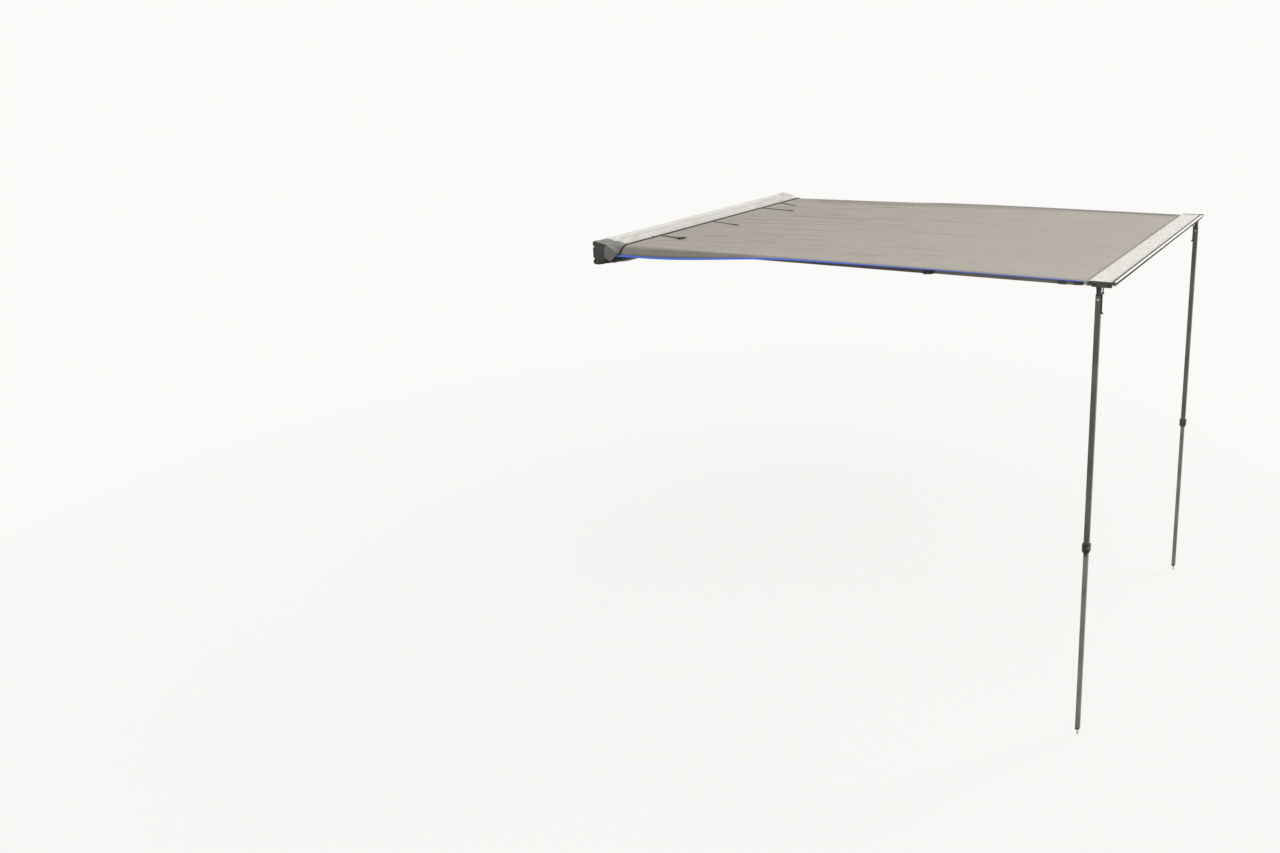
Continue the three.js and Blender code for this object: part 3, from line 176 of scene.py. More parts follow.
def two_tones(tree, shader, amount, low, high, start=0.35, end=0.65):
    """Colours the shader between two tones by an amount from 0 to 1."""
    ramp = add_node(tree, "ShaderNodeValToRGB", {"Fac": amount})
    for i, (position, colour) in enumerate(((start, low), (end, high))):
        ramp.color_ramp.elements[i].position = position
        ramp.color_ramp.elements[i].color = linear(colour)
    tree.links.new(ramp.outputs["Color"], shader.inputs["Base Color"])


def bumps(tree, shader, *layers):
    """Stacks bump layers, each (height socket, distance in mm, strength)."""
    normal = None
    for height, distance, strength in layers:
        inputs = {"Height": height, "Distance": distance * MM, "Strength": strength}
        if normal is not None:
            inputs["Normal"] = normal
        normal = add_node(tree, "ShaderNodeBump", inputs).outputs["Normal"]
    tree.links.new(normal, shader.inputs["Normal"])


def vary_roughness(tree, shader, amount, low, high):
    spread = add_node(tree, "ShaderNodeMapRange", {"Value": amount, "To Min": low, "To Max": high})
    tree.links.new(spread.outputs["Result"], shader.inputs["Roughness"])


def drawn_metal(name, low, high, roughness, along, metallic=1.0, cloud_start=0.35, line_mm=0.12):
    """An extruded or drawn metal: fine die lines run along it, with faint clouding across the anodising."""
    material, tree, shader = new_finish(name, Metallic=metallic)
    # Die lines about 1.1 mm apart: the real ones are finer
    lines = noise(tree, [6 if axis == along else 900 for axis in "xyz"], 3.0, Roughness=0.6)
    cloud = noise(tree, 9, 4.0)
    two_tones(tree, shader, cloud, low, high, cloud_start, 1 - cloud_start)
    vary_roughness(tree, shader, lines, roughness - 0.06, roughness + 0.08)
    bumps(tree, shader, (lines, line_mm, 0.35))
    return material


def moulded(name, low, high, roughness, grain_mm, depth_mm, **sockets):
    """Moulded plastic or rubber: a spark-eroded grain, and slightly lighter rubbed patches."""
    material, tree, shader = new_finish(name, **sockets)
    grain = noise(tree, 1 / (grain_mm * MM), 2.0)
    rubbed = noise(tree, 45, 5.0, Roughness=0.65)
    two_tones(tree, shader, rubbed, low, high, 0.4, 0.75)
    vary_roughness(tree, shader, rubbed, roughness - 0.08, roughness + 0.06)
    bumps(tree, shader, (grain, depth_mm, 0.5))
    return material


def plated(name, low, high, roughness):
    """Zinc-plated steel: bright, with the faint spangle of the passivated coat."""
    material, tree, shader = new_finish(name, Metallic=1.0)
    spangle = add_node(tree, "ShaderNodeTexVoronoi", {
        "Vector": object_place(tree, (700, 700, 700)), "Scale": 1.0}).outputs["Distance"]
    cloud = noise(tree, 120, 4.0)
    two_tones(tree, shader, cloud, low, high)
    vary_roughness(tree, shader, spangle, roughness - 0.05, roughness + 0.1)
    bumps(tree, shader, (cloud, 0.05, 0.3))
    return material


def woven(name, low, high, roughness, thread_mm, sheen, crease_mm=0.0, stretch=(1, 1, 1), coat=0.0):
    """Woven cloth with a coated back: plain weave in the cloth's own UV directions, slight uneven dye,
    and the soft creases that it keeps from being rolled and packed."""
    material, tree, shader = new_finish(
        name, Sheen_Weight=sheen, Sheen_Roughness=0.5, Coat_Weight=coat, Coat_Roughness=0.45)
    uv = add_node(tree, "ShaderNodeUVMap", uv_map="cloth").outputs["UV"]
    warp, weft = (waves(tree, uv, thread_mm, direction, 0.3, 1.0) for direction in "XY")
    weave = maths(tree, "MULTIPLY", warp, weft)
    dye = noise(tree, 7, 6.0, Roughness=0.6)
    two_tones(tree, shader, dye, low, high)
    vary_roughness(tree, shader, dye, roughness - 0.06, roughness + 0.05)
    layers = [(weave, 0.12, 0.35)]
    if crease_mm:
        crease = noise(tree, stretch, 3.0, Roughness=0.55, Distortion=0.6)
        sharp = add_node(tree, "ShaderNodeTexVoronoi", {
            "Vector": object_place(tree, [0.8 * s for s in stretch]), "Scale": 1.0},
            feature="DISTANCE_TO_EDGE").outputs["Distance"]
        layers += [(crease, crease_mm, 0.6), (sharp, crease_mm * 0.35, 0.25)]
    bumps(tree, shader, *layers)
    return material


def ribbed_tape(name, low, high, rib_mm, across):
    """Woven tape or webbing: ribs across it, and a slight shine on the raised threads."""
    material, tree, shader = new_finish(name, Sheen_Weight=0.25, Sheen_Roughness=0.4)
    place = add_node(tree, "ShaderNodeTexCoord").outputs["Object"]
    ribs = waves(tree, place, rib_mm, across, 0.4, 2.0)
    fluff = noise(tree, 300, 3.0)
    two_tones(tree, shader, maths(tree, "MULTIPLY", ribs, fluff), low, high, 0.1, 0.6)
    vary_roughness(tree, shader, ribs, 0.62, 0.8)
    bumps(tree, shader, (ribs, 0.25, 0.5), (fluff, 0.1, 0.3))
    return material


# Silver-anodised 6063 aluminium, satin etched: pale, with soft reflections
silver_extrusion = drawn_metal("silver_anodised_aluminium", "#d6d4ce", "#dfddd8", 0.5, "x", 0.5, 0.2, 0.03)
# Hard-anodised drawn tube, dyed charcoal with a slight olive cast
leg_tube = drawn_metal("charcoal_anodised_tube_upright", "#605f5b", "#73716c", 0.4, "z", 0.75)
arm_tube = drawn_metal("charcoal_anodised_tube_level", "#585650", "#6b6861", 0.4, "y", 0.75)
# The inner tubes are a shade lighter, rubbed by the clamp lip that slides along them
leg_inner = drawn_metal("charcoal_anodised_inner_upright", "#777570", "#8b8882", 0.36, "z", 0.75)
arm_inner = drawn_metal("charcoal_anodised_inner_level", "#6c6a65", "#817e78", 0.36, "y", 0.75)
# Glass-filled nylon: dark grey, with a sandy moulded grain
glass_nylon = moulded("glass_filled_nylon", "#3c3c39", "#51514c", 0.56, 0.7, 0.12, IOR=1.53)
black_nylon = moulded("black_moulded_nylon", "#1b1b1b", "#2a2a29", 0.5, 0.6, 0.08, IOR=1.53)
strap_rubber = moulded("moulded_epdm_rubber", "#171717", "#242423", 0.78, 0.5, 0.1, IOR=1.52)
black_zinc = plated("black_zinc_plated_steel", "#26272a", "#3a3b3d", 0.42)
zinc_steel = plated("zinc_plated_steel", "#b5b7b9", "#d0d2d3", 0.3)
# Polyester canvas with a polyurethane coat: warm taupe grey
canopy_cloth = woven("coated_canopy_polyester", "#a8a195", "#afa89c", 0.72, 1.0, 0.1, 6, (26, 2.8, 9), 0.04)
# The hems and edge cords take a darker copy of the canopy cloth: painted shade for the droop over the arms
# near the bag and for the shadow along the rail's track.
canopy_hem_painted_shade_cloth = woven("coated_canopy_hem_painted_shade", "#8b877d", "#969288", 0.72, 1.0, 0.1, 0.5, (20, 6, 20), 0.04)
# The bag's lid is a pale, lightly coated cloth that keeps sharp lengthwise creases
bag_cloth = woven("pale_coated_bag_polyester", "#d6d2c9", "#e4e1da", 0.62, 1.1, 0.1, 2.2, (5, 40, 40), 0.12)
bag_hem_cloth = woven("pale_coated_bag_hem", "#eeede9", "#f8f7f4", 0.6, 1.1, 0.1, 0.5, (6, 60, 60), 0.12)
# A dark grey copy of the bag cloth for the near corner: painted shade where the fold faces away from the
# light.
bag_corner_painted_shade_cloth = woven("bag_cloth_painted_shade", "#605f5c", "#7d7c78", 0.55, 1.1, 0.15, 2.4, (45, 30, 30), 0.2)
dark_cloth = woven("dark_bag_polyester", "#2d2d2e", "#424242", 0.6, 1.2, 0.2, 2.4, (14, 34, 34), 0.15)
blue_tape = ribbed_tape("royal_blue_edge_tape", "#4a78ff", "#7b9dff", 1.6, "Y")
black_webbing = ribbed_tape("black_polypropylene_webbing", "#161617", "#303032", 1.8, "Y")
zip_tape_cloth = ribbed_tape("black_zip_tape", "#151515", "#2a2a2a", 1.2, "X")
zip_nylon = moulded("black_zip_coil_nylon", "#101010", "#1d1d1d", 0.4, 0.6, 0.05, IOR=1.53)
pale_thread = ribbed_tape("pale_bonded_thread", "#8e887d", "#aaa398", 0.8, "Y")
white_thread = ribbed_tape("white_bonded_thread", "#b9b7b0", "#dddbd5", 0.8, "Y")
blue_thread = ribbed_tape("blue_bonded_thread", "#2a4bc4", "#4265e0", 0.8, "Y")

FINISHES = {
    silver_extrusion: ["back_plate", "lead_rail"],
    zinc_steel: ["arm_pivot_pin", "arm_hook", "hook_peg", "leg_pivot_pin"],
    leg_tube: ["leg_outer_tube"],
    leg_inner: ["leg_inner_tube"],
    arm_tube: ["arm_outer_tube"],
    arm_inner: ["arm_inner_tube"],
    glass_nylon: ["arm_bracket", "arm_knuckle", "arm_clamp_collar", "arm_stop", "arm_fork", "rail_end_cap",
                  "leg_lug", "leg_fork_head", "leg_clamp_collar", "leg_foot"],
    black_nylon: ["plate_end_cap", "arm_clamp_lever", "leg_clamp_lever"],
    strap_rubber: ["leg_keeper_strap"],
}
for finish, stems in FINISHES.items():
    for node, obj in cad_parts.items():
        if node in stems or node.rsplit("_", 1)[0] in stems:
            for material_slot in obj.material_slots:
                material_slot.material = finish


# The moulded parts' edges are softened, as the mould leaves them
for node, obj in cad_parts.items():
    if obj.material_slots and obj.material_slots[0].material in (glass_nylon, black_nylon):
        weld = obj.modifiers.new("weld", "WELD")
        weld.merge_threshold = 0.01 * MM
        ease = obj.modifiers.new("eased_edges", "BEVEL")
        ease.width, ease.segments, ease.harden_normals = MOULD_EDGE * MM, 2, True
        ease.limit_method, ease.angle_limit = "ANGLE", math.radians(MOULD_EDGE_ANGLE)


# Building meshes

def add_object(name, data):
    obj = bpy.data.objects.new(name, data)
    bpy.context.scene.collection.objects.link(obj)
    return obj


def link(mesh, name, material=None):
    if material is not None:
        mesh.materials.append(material)
    mesh.shade_smooth()
    return add_object(name, mesh)


def link_solid(work, name, material=None):
    """The bmesh as an object, with its faces turned outward."""
    bmesh.ops.recalc_face_normals(work, faces=work.faces)
    mesh = bpy.data.meshes.new(name)
    work.to_mesh(mesh)
    work.free()
    return link(mesh, name, material)


def plain_mesh(obj, name):
    """The object with its modifiers worked into a mesh of its own. The object itself is removed."""
    graph = bpy.context.evaluated_depsgraph_get()
    mesh = bpy.data.meshes.new_from_object(
        obj.evaluated_get(graph), preserve_all_data_layers=True, depsgraph=graph)
    bpy.data.objects.remove(obj)
    mesh.name = name
    return link(mesh, name)


def smoothstep(value, low, high):
    t = np.clip((value - low) / (high - low), 0, 1)
    return t * t * (3 - 2 * t)


def lerp(a, b, share):
    return a + (b - a) * share


def cloth(name, place, columns, rows, thickness, material, size):
    """A sheet of cloth from place(s, t), which gives x, y, z arrays in mm. size is its flat size in mm."""
    s, t = np.meshgrid(np.linspace(0, 1, columns + 1), np.linspace(0, 1, rows + 1))
    points = np.stack([np.broadcast_to(a, s.shape) for a in place(s, t)], axis=-1).reshape(-1, 3) * MM
    index = np.arange(s.size).reshape(s.shape)
    quads = np.stack([index[:-1, :-1], index[:-1, 1:], index[1:, 1:], index[1:, :-1]], axis=-1).reshape(-1, 4)
    mesh = bpy.data.meshes.new(name)
    mesh.from_pydata(points.tolist(), [], quads.tolist())
    uv = mesh.uv_layers.new(name="cloth")
    flat = np.stack([s.ravel() * size[0], t.ravel() * size[1]], axis=-1) * MM
    uv.data.foreach_set("uv", flat[quads.ravel()].ravel())
    obj = link(mesh, name, material)
    thick = obj.modifiers.new("thickness", "SOLIDIFY")
    thick.thickness = thickness * MM
    thick.offset = 0
    return plain_mesh(obj, name)


def band(name, xs, outs, up_of, columns, rows, thickness, material, size):
    """A strip of cloth between two places along X and two out, at the heights that up_of(x, out) gives."""
    def place(s, t):
        x, out = lerp(*xs, s), lerp(*outs, t)
        return x, -out, up_of(x, out)
    return cloth(name, place, columns, rows, thickness, material, size)


def tube(name, points, radius, material, sides=10):
    """A round cord along points in mm, closed at both ends."""
    path = np.array(points, float) * MM
    tangents = np.gradient(path, axis=0)
    tangents /= np.linalg.norm(tangents, axis=1)[:, None]
    side = np.cross(tangents, (0.123, 0.456, 0.881))
    side /= np.linalg.norm(side, axis=1)[:, None]
    lift = np.cross(tangents, side)
    angles = np.linspace(0, 2 * math.pi, sides, endpoint=False)
    rings = path[:, None] + radius * MM * (
        np.cos(angles)[None, :, None] * side[:, None] + np.sin(angles)[None, :, None] * lift[:, None])
    count = len(path)
    faces = [[i + k, i + (k + 1) % sides, i + sides + (k + 1) % sides, i + sides + k]
             for i in range(0, (count - 1) * sides, sides) for k in range(sides)]
    faces += [list(range(sides))[::-1], [(count - 1) * sides + k for k in range(sides)]]
    work = bmesh.new()
    corners = [work.verts.new(point) for point in rings.reshape(-1, 3)]
    for face in faces:
        work.faces.new([corners[i] for i in face])
    return link_solid(work, name, material)


def turned(name, profile, material, sides=20):
    """A shape turned about Z from (radius, height) in mm."""
    work = bmesh.new()
    rings = []
    for radius, height in profile:
        if radius == 0:
            rings.append([work.verts.new((0, 0, height * MM))] * sides)
        else:
            rings.append([work.verts.new((radius * MM * math.cos(a), radius * MM * math.sin(a), height * MM))
                          for a in np.linspace(0, 2 * math.pi, sides, endpoint=False)])
    for low, high in zip(rings, rings[1:]):
        for k in range(sides):
            corners = [low[k], low[(k + 1) % sides], high[(k + 1) % sides], high[k]]
            corners = [c for i, c in enumerate(corners) if c not in corners[:i]]
            if len(corners) > 2:
                work.faces.new(corners)
    return link_solid(work, name, material)


# Repeats, made with Geometry Nodes

def node_group(name, *inputs):
    tree = bpy.data.node_groups.new(name, "GeometryNodeTree")
    for label, kind in (("Geometry", "Geometry"), ("Unit", "Object"), ("Material", "Material"), *inputs):
        tree.interface.new_socket(label, in_out="INPUT", socket_type="NodeSocket" + kind)
    tree.interface.new_socket("Geometry", in_out="OUTPUT", socket_type="NodeSocketGeometry")
    return tree, add_node(tree, "NodeGroupInput").outputs


def end_group(tree, given, points, rotation):
    """Ends a tree as the export needs it: a unit at each point, made real, then given its material."""
    unit = add_node(tree, "GeometryNodeObjectInfo", {"Object": given["Unit"]}).outputs["Geometry"]
    placed = add_node(tree, "GeometryNodeInstanceOnPoints", {
        "Points": points, "Instance": unit, "Rotation": rotation}).outputs["Instances"]
    real = add_node(tree, "GeometryNodeRealizeInstances", {"Geometry": placed})
    painted = add_node(tree, "GeometryNodeSetMaterial", {
        "Geometry": real.outputs["Geometry"], "Material": given["Material"]})
    add_node(tree, "NodeGroupOutput", {"Geometry": painted.outputs["Geometry"]})
    return tree


def row_group():
    """One unit after another along a line of edges: stitches, teeth, ribs."""
    tree, given = node_group("unit_row", ("Pitch", "Float"))
    line = add_node(tree, "GeometryNodeMeshToCurve", {"Mesh": given["Geometry"]}).outputs["Curve"]
    spaced = add_node(tree, "GeometryNodeResampleCurve", {"Curve": line, "Length": given["Pitch"]},
                      mode="LENGTH")
    tangent = add_node(tree, "GeometryNodeInputTangent").outputs["Tangent"]
    along = add_node(tree, "FunctionNodeAlignRotationToVector", {"Vector": tangent}, axis="X")
    upright = add_node(tree, "FunctionNodeAlignRotationToVector", {
        "Rotation": along.outputs["Rotation"], "Vector": UP}, axis="Z", pivot_axis="X")
    return end_group(tree, given, spaced.outputs["Curve"], upright.outputs["Rotation"])


def spot_group():
    """One unit at each point, standing along the direction stored there: screws, rivets, pin ends."""
    tree, given = node_group("unit_spots")
    facing = add_node(tree, "GeometryNodeInputNamedAttribute", {"Name": "facing"}, data_type="FLOAT_VECTOR")
    stood = add_node(tree, "FunctionNodeAlignRotationToVector", {
        "Vector": facing.outputs["Attribute"]}, axis="Z")
    return end_group(tree, given, given["Geometry"], stood.outputs["Rotation"])


ROW, SPOTS = row_group(), spot_group()


def through_group(mesh, name, tree, **values):
    """Runs a mesh through a Geometry Nodes tree and keeps the result as a plain mesh."""
    obj = link(mesh, name)
    modifier = obj.modifiers.new("units", "NODES")
    modifier.node_group = tree
    for item in tree.interface.items_tree:
        if item.in_out == "INPUT" and item.name in values:
            modifier[item.identifier] = values[item.name]
    return plain_mesh(obj, name)


def row_of(name, lines, unit, pitch, material):
    """Units along lines of points in mm."""
    points, edges = [], []
    for line in lines:
        start = len(points)
        points += [tuple(np.array(p) * MM) for p in line]
        edges += [(start + i, start + i + 1) for i in range(len(line) - 1)]
    mesh = bpy.data.meshes.new(name)
    mesh.from_pydata(points, edges, [])
    return through_group(mesh, name, ROW, Pitch=pitch * MM, Unit=unit, Material=material)


def spots_of(name, spots, unit, material):
    """Units at (place in mm, facing)."""
    mesh = bpy.data.meshes.new(name)
    mesh.from_pydata([tuple(np.array(p) * MM) for p, _ in spots], [], [])
    attribute = mesh.attributes.new("facing", "FLOAT_VECTOR", "POINT")
    attribute.data.foreach_set("vector", np.array([f for _, f in spots], np.float32).ravel())
    return through_group(mesh, name, SPOTS, Unit=unit, Material=material)


def unit_box(name, size, bevel):
    """A small block with eased edges, size in mm."""
    work = bmesh.new()
    bmesh.ops.create_cube(work, size=1, matrix=Matrix.Diagonal((*[a * MM for a in size], 1)))
    bmesh.ops.bevel(work, geom=work.edges, offset=bevel * MM, segments=1, affect="EDGES")
    return link_solid(work, name)


stitch = unit_box("unit_stitch", (3.4, 0.9, 0.7), 0.25)
tooth = unit_box("unit_tooth", (1.5, 4.4, 1.5), 0.35)
grip_rib = unit_box("unit_grip_rib", (1.2, 1.0, 9.0), 0.3)
screw_head = turned("unit_screw_head", [
    (0, 0.5), (1.3, 0.5), (1.3, 1.6), (2.3, 1.7), (3.2, 1.2), (3.7, 0.4), (3.8, -0.3), (0, -0.3)], None, 18)
hollow_rivet = turned("unit_hollow_rivet", [
    (0, 0.1), (1.9, 0.1), (2.2, 1.0), (3.2, 1.4), (4.3, 1.1), (4.9, 0.3), (4.9, -0.3), (0, -0.3)], None)
pin_cap = turned("unit_pin_cap", [(0, 0.9), (1.6, 0.85), (2.6, 0.5), (3.1, 0), (3.1, -0.2), (0, -0.2)], None)
UNITS = [stitch, tooth, grip_rib, screw_head, hollow_rivet, pin_cap]
STITCH_PITCH, TAPE_STITCH_PITCH, TOOTH_PITCH = 5.6, 5.2, 2.7


# Canopy

def arm_line(out):
    """Where the cloth leaves the arm that it lies over."""
    return lerp(ARM_PIVOT_X, ARM_TIP_X, (out - ARM_PIVOT_OUT) / (ARM_TIP_OUT - ARM_PIVOT_OUT)) + ARM_CLEAR


def outside_arm(x, out):
    line = arm_line(out)
    return np.maximum(0, (np.abs(x) - line) / (CANOPY_HALF - line))


def canopy_base(x, out):
    """The middle of the canopy cloth, as the solid has it, with the dip beside each arm."""
    share = np.clip((out - CANOPY_FROM) / (CANOPY_TO - CANOPY_FROM), 0, 1)
    base = lerp(CANOPY_BACK_UP, CANOPY_RAIL_UP, share)
    crown = CROWN * 4 * share * (1 - share)
    fan = np.arctan2(out, x + LENGTH / 2)
    ripple = RIPPLE * np.sin(np.pi * share) * np.sin(RIPPLES * fan)
    fade = smoothstep(out, DROOP_FROM, DROOP_FULL) * (1 - smoothstep(out, DROOP_FADE, DROOP_END))
    outside = outside_arm(x, out)
    inside = np.maximum(0, arm_line(out) - np.abs(x))
    held = smoothstep(out, SAG_FROM, SAG_FULL) * (1 - SAG_LOST * smoothstep(out, SAG_EASES, SAG_EASED))
    sag = np.where(x > 0, FAR_SAG, NEAR_SAG) * (1 - np.exp(-inside / SAG_START)) \
        * np.exp(-(inside / SAG_REACH) ** 2) * held
    return base + crown + ripple - sag - DROOP * fade * outside ** DROOP_BEND


# Tension folds that run out from the bag: (start along X, slope, width, reach, height), in mm
fold_draw = np.random.default_rng(7)
TENSION_FOLDS = [(x + fold_draw.uniform(-16, 16), fold_draw.uniform(-0.04, 0.2), fold_draw.uniform(7, 13),
                  fold_draw.uniform(260, 1100), fold_draw.uniform(1.4, 4.2)) for x in range(-880, 900, 38)]

# Short creases in the middle of the canopy: (X, out, width, length, height), in mm
CREASES = [(fold_draw.uniform(-800, 780), fold_draw.uniform(600, 1750), fold_draw.uniform(7, 11),
            fold_draw.uniform(60, 190), fold_draw.uniform(1.3, 3.4)) for _ in range(44)]

# Long soft waves of the slack cloth: (height, length along X, length outwards, phase), over a rest height
SLACK_REST, SLACK_SHARE = 1.3, 0.8
SLACK_WAVES = [(0.8, 173, 410, 0.6), (0.8, 97, -620, 2.1), (0.5, 58, 950, 0)]
FOLDS_DEEPEST, FOLDS_WIDEN = 190, 1500


def canopy_folds(x, out):
    """Folds and soft waves that the pull of the arms leaves in the cloth. They never dip below the base."""
    total = np.zeros(np.broadcast(x, out).shape)
    for start, slope, width, reach, height in TENSION_FOLDS:
        across = (x - start - slope * (out - FLAP_OUT)) / (width * (1 + out / FOLDS_WIDEN))
        total += height * np.exp(-across ** 2) * np.exp(-((out - FOLDS_DEEPEST) / reach) ** 2)
    for middle, mid_out, width, length, height in CREASES:
        total += height * np.exp(-((x - middle) / width) ** 2 - ((out - mid_out) / length) ** 2)
    slack = SLACK_REST + sum(height * np.sin(x / along + out / outwards + phase)
                             for height, along, outwards, phase in SLACK_WAVES)
    share = np.clip((out - CANOPY_FROM) / (CANOPY_TO - CANOPY_FROM), 0, 1)
    held = np.sin(np.pi * share) ** 0.6
    edge = 1 - 0.7 * smoothstep(np.abs(x), CANOPY_HALF - 90, CANOPY_HALF)
    clear_of_bag = smoothstep(out, FLAP_OUT - 20, FLAP_OUT + 90)
    return (total + slack * SLACK_SHARE) * held * edge * clear_of_bag


def canopy_up(x, out):
    return canopy_base(x, out) + canopy_folds(x, out)


def on_canopy(x, out, lift):
    """One point on the canopy at lift over the middle of the cloth."""
    return x, -out, canopy_up(x, out) + lift


def bend_with_canopy(piece):
    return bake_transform(piece)


CANOPY_TURN_IN = 3  # the cloth goes this far into the grooves of the plate and the rail
CANOPY_WIDTH = (-CANOPY_HALF, CANOPY_HALF)
canopy = band("canopy_cloth", CANOPY_WIDTH, (CANOPY_FROM - CANOPY_TURN_IN, CANOPY_TO + CANOPY_TURN_IN),
              canopy_up, 420, 100, CANOPY_THICK, canopy_cloth, (1972, 2379))
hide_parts("canopy")
bend_with_canopy(canopy)

# The round cords in the canopy's edges: (body, out, up, radius)
CORDS = {"plate": (ROOT, 11.4, CANOPY_BACK_UP, 2.7), "rail": (RAIL, 2396.2, CANOPY_RAIL_UP, 2.4)}
CORD_POINTS, CORD_HALF = 15, 980


def straight_cord(name, half, out, up, radius, finish):
    return tube(name, [(x, -out, up) for x in np.linspace(-half, half, CORD_POINTS)], radius, finish)


for where, (body, out, up, radius) in CORDS.items():
    piece = straight_cord(f"canopy_edge_cord_{where}", CORD_HALF, out, up, radius, canopy_hem_painted_shade_cloth)
    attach(piece, body)

HEM_WIDTH, RAIL_HEM, HEM_LIFT, HEM_THICK = 34, 11, 0.85, 0.7
HEM_TOP = HEM_LIFT + HEM_THICK / 2

# The folded tape hangs over the cloth's edge near the bag, and lies flatter and narrower by the rail
TAPE_FROM, TAPE_TO, TAPE_GAP, TAPE_UP, TAPE_HANG = 1.2, 2380.5, 0.6, 1.25, 3.4
TAPE_HALVES, TAPE_STITCH_IN, TAPE_STITCH_UP, STITCHES_TO = (2.6, 1.8), 2.4, 1.3, 2378


def hem_up(x, out):
    return canopy_up(x, out) + HEM_LIFT


# The hem bands are darker than the canopy as painted shade: the droop's shade along the sides and the shadow
# along the rail.
rail_hem = band("canopy_rail_hem", CANOPY_WIDTH, (CANOPY_TO - RAIL_HEM, CANOPY_TO), hem_up,
                164, 4, HEM_THICK, canopy_hem_painted_shade_cloth, (1972, RAIL_HEM))
hem_pieces, canopy_threads = [rail_hem], []
for name, sign in SIDES.items():
    outs = np.linspace(FACE_OUT + 2, STITCHES_TO, 170)
    hem_pieces.append(band(
        f"canopy_side_hem_{name}", (sign * (CANOPY_HALF - HEM_WIDTH), sign * CANOPY_HALF),
        (CANOPY_FROM, CANOPY_TO - RAIL_HEM - 1), hem_up, 5, 180, HEM_THICK, canopy_hem_painted_shade_cloth,
        (HEM_WIDTH, 2361)))

    def tape_place(s, t):
        """Once round the tape's rounded section: s goes round it, t along it."""
        around = 2 * np.pi * s
        out = lerp(FACE_OUT + TAPE_FROM, TAPE_TO, t)
        hang = lerp(TAPE_HANG, 0.0, smoothstep(out, 450, 2000))
        half = lerp(*TAPE_HALVES, smoothstep(out, 500, 2100))
        x = CANOPY_HALF + TAPE_GAP + half + half * np.cos(around)
        edge = canopy_base(sign * CANOPY_HALF, out)
        return sign * x, -out, edge - hang + (TAPE_UP + hang) * np.sin(around)
    binding = cloth(f"canopy_binding_tape_{name}", tape_place, 12, 200, 0.3, blue_tape, (18, 2364))
    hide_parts(f"canopy_binding_{name}")
    bend_with_canopy(binding)

    seam = [(sign * (CANOPY_HALF + TAPE_STITCH_IN), -out,
             canopy_base(sign * CANOPY_HALF, out) + TAPE_STITCH_UP) for out in outs]
    threads = row_of(f"binding_stitches_{name}", [seam], stitch, TAPE_STITCH_PITCH, blue_thread)
    bend_with_canopy(threads)

    hem_lines = [[on_canopy(sign * (CANOPY_HALF - inset), out, HEM_TOP) for out in outs[:-4]]
                 for inset in (HEM_WIDTH - 3, 4)]
    canopy_threads.append(row_of(f"side_hem_stitches_{name}", hem_lines, stitch, STITCH_PITCH, pale_thread))

rail_line = [on_canopy(x, CANOPY_TO - RAIL_HEM + 2.5, HEM_TOP) for x in np.linspace(-950, 950, 120)]
canopy_threads.append(row_of("rail_hem_stitches", [rail_line], stitch, STITCH_PITCH, pale_thread))
for piece in hem_pieces + canopy_threads:
    bend_with_canopy(piece)


# Bag

def flap_up(x, out):
    """The middle of the bag's lid without its folds: level with the plate's top, then down to the canopy."""
    resting = canopy_base(np.clip(x, -FLAP_HALF, FLAP_HALF), out) + (CANOPY_THICK + BAG_CLOTH) / 2 + LID_GAP
    return lerp(FLAP_BACK_UP, resting, smoothstep(out, FLAP_FROM, FLAP_FALL))


# Lengthwise folds of the lid: (height, out, share of the wander, width), ridge, valley and a broken ridge
LID_FOLDS = [(4.42, 78, 1, 9), (-2.08, 52, 0.6, 8), (1.8, 112, -1, 7)]
GATHER_FROM, GATHER_FULL = 560, 880


def flap_folds(x, out):
    """Lengthwise folds that wander along the lid, slack creases, and gathers towards its ends."""
    share = np.clip((out - FLAP_FROM) / (FLAP_OUT - FLAP_FROM), 0, 1)
    wander = 5 * np.sin(x / 210) + 3 * np.sin(x / 83 + 1.2)
    ridge, valley, second = (height * np.exp(-((out - middle - drift * wander) / width) ** 2)
                             for height, middle, drift, width in LID_FOLDS)
    broken = 0.5 + 0.5 * np.sin(x / 160 + 0.8)
    slack = 0.9 * np.sin(x / 47 + out / 22) * np.sin(x / 131 + 0.4)
    near_end = smoothstep(np.abs(x), GATHER_FROM, GATHER_FULL)
    gather = near_end * (1.5 * np.sin((x + out * 2.6) / 21) + 0.9 * np.sin((0.6 * x - out * 1.5) / 12))
    return (ridge + valley + second * broken + slack + gather) * np.sin(np.pi * share) ** 0.7


def lid_up(x, out):
    return flap_up(x, out) + flap_folds(x, out)


LID_WIDTH = (-FLAP_HALF, FLAP_HALF)
lid = band("bag_lid_cloth", LID_WIDTH, (FLAP_FROM, FLAP_OUT), lid_up, 420, 34, 1.6, bag_cloth, (1786, 150))
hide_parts("bag_top_flap")

LID_HEM, LID_HEM_LIFT = 27, 1.25
EDGE_CORD_OUT, EDGE_CORD_IN, EDGE_CORD_RADIUS = 11, 3.6, 1.9
# Rows of stitches on the lid: (out, lift over the middle of the cloth)
LID_STITCHES = [(FLAP_FROM + 4, 1.8), (FLAP_FROM + LID_HEM - 3, 1.8), (FLAP_OUT - 4, 0.95)]

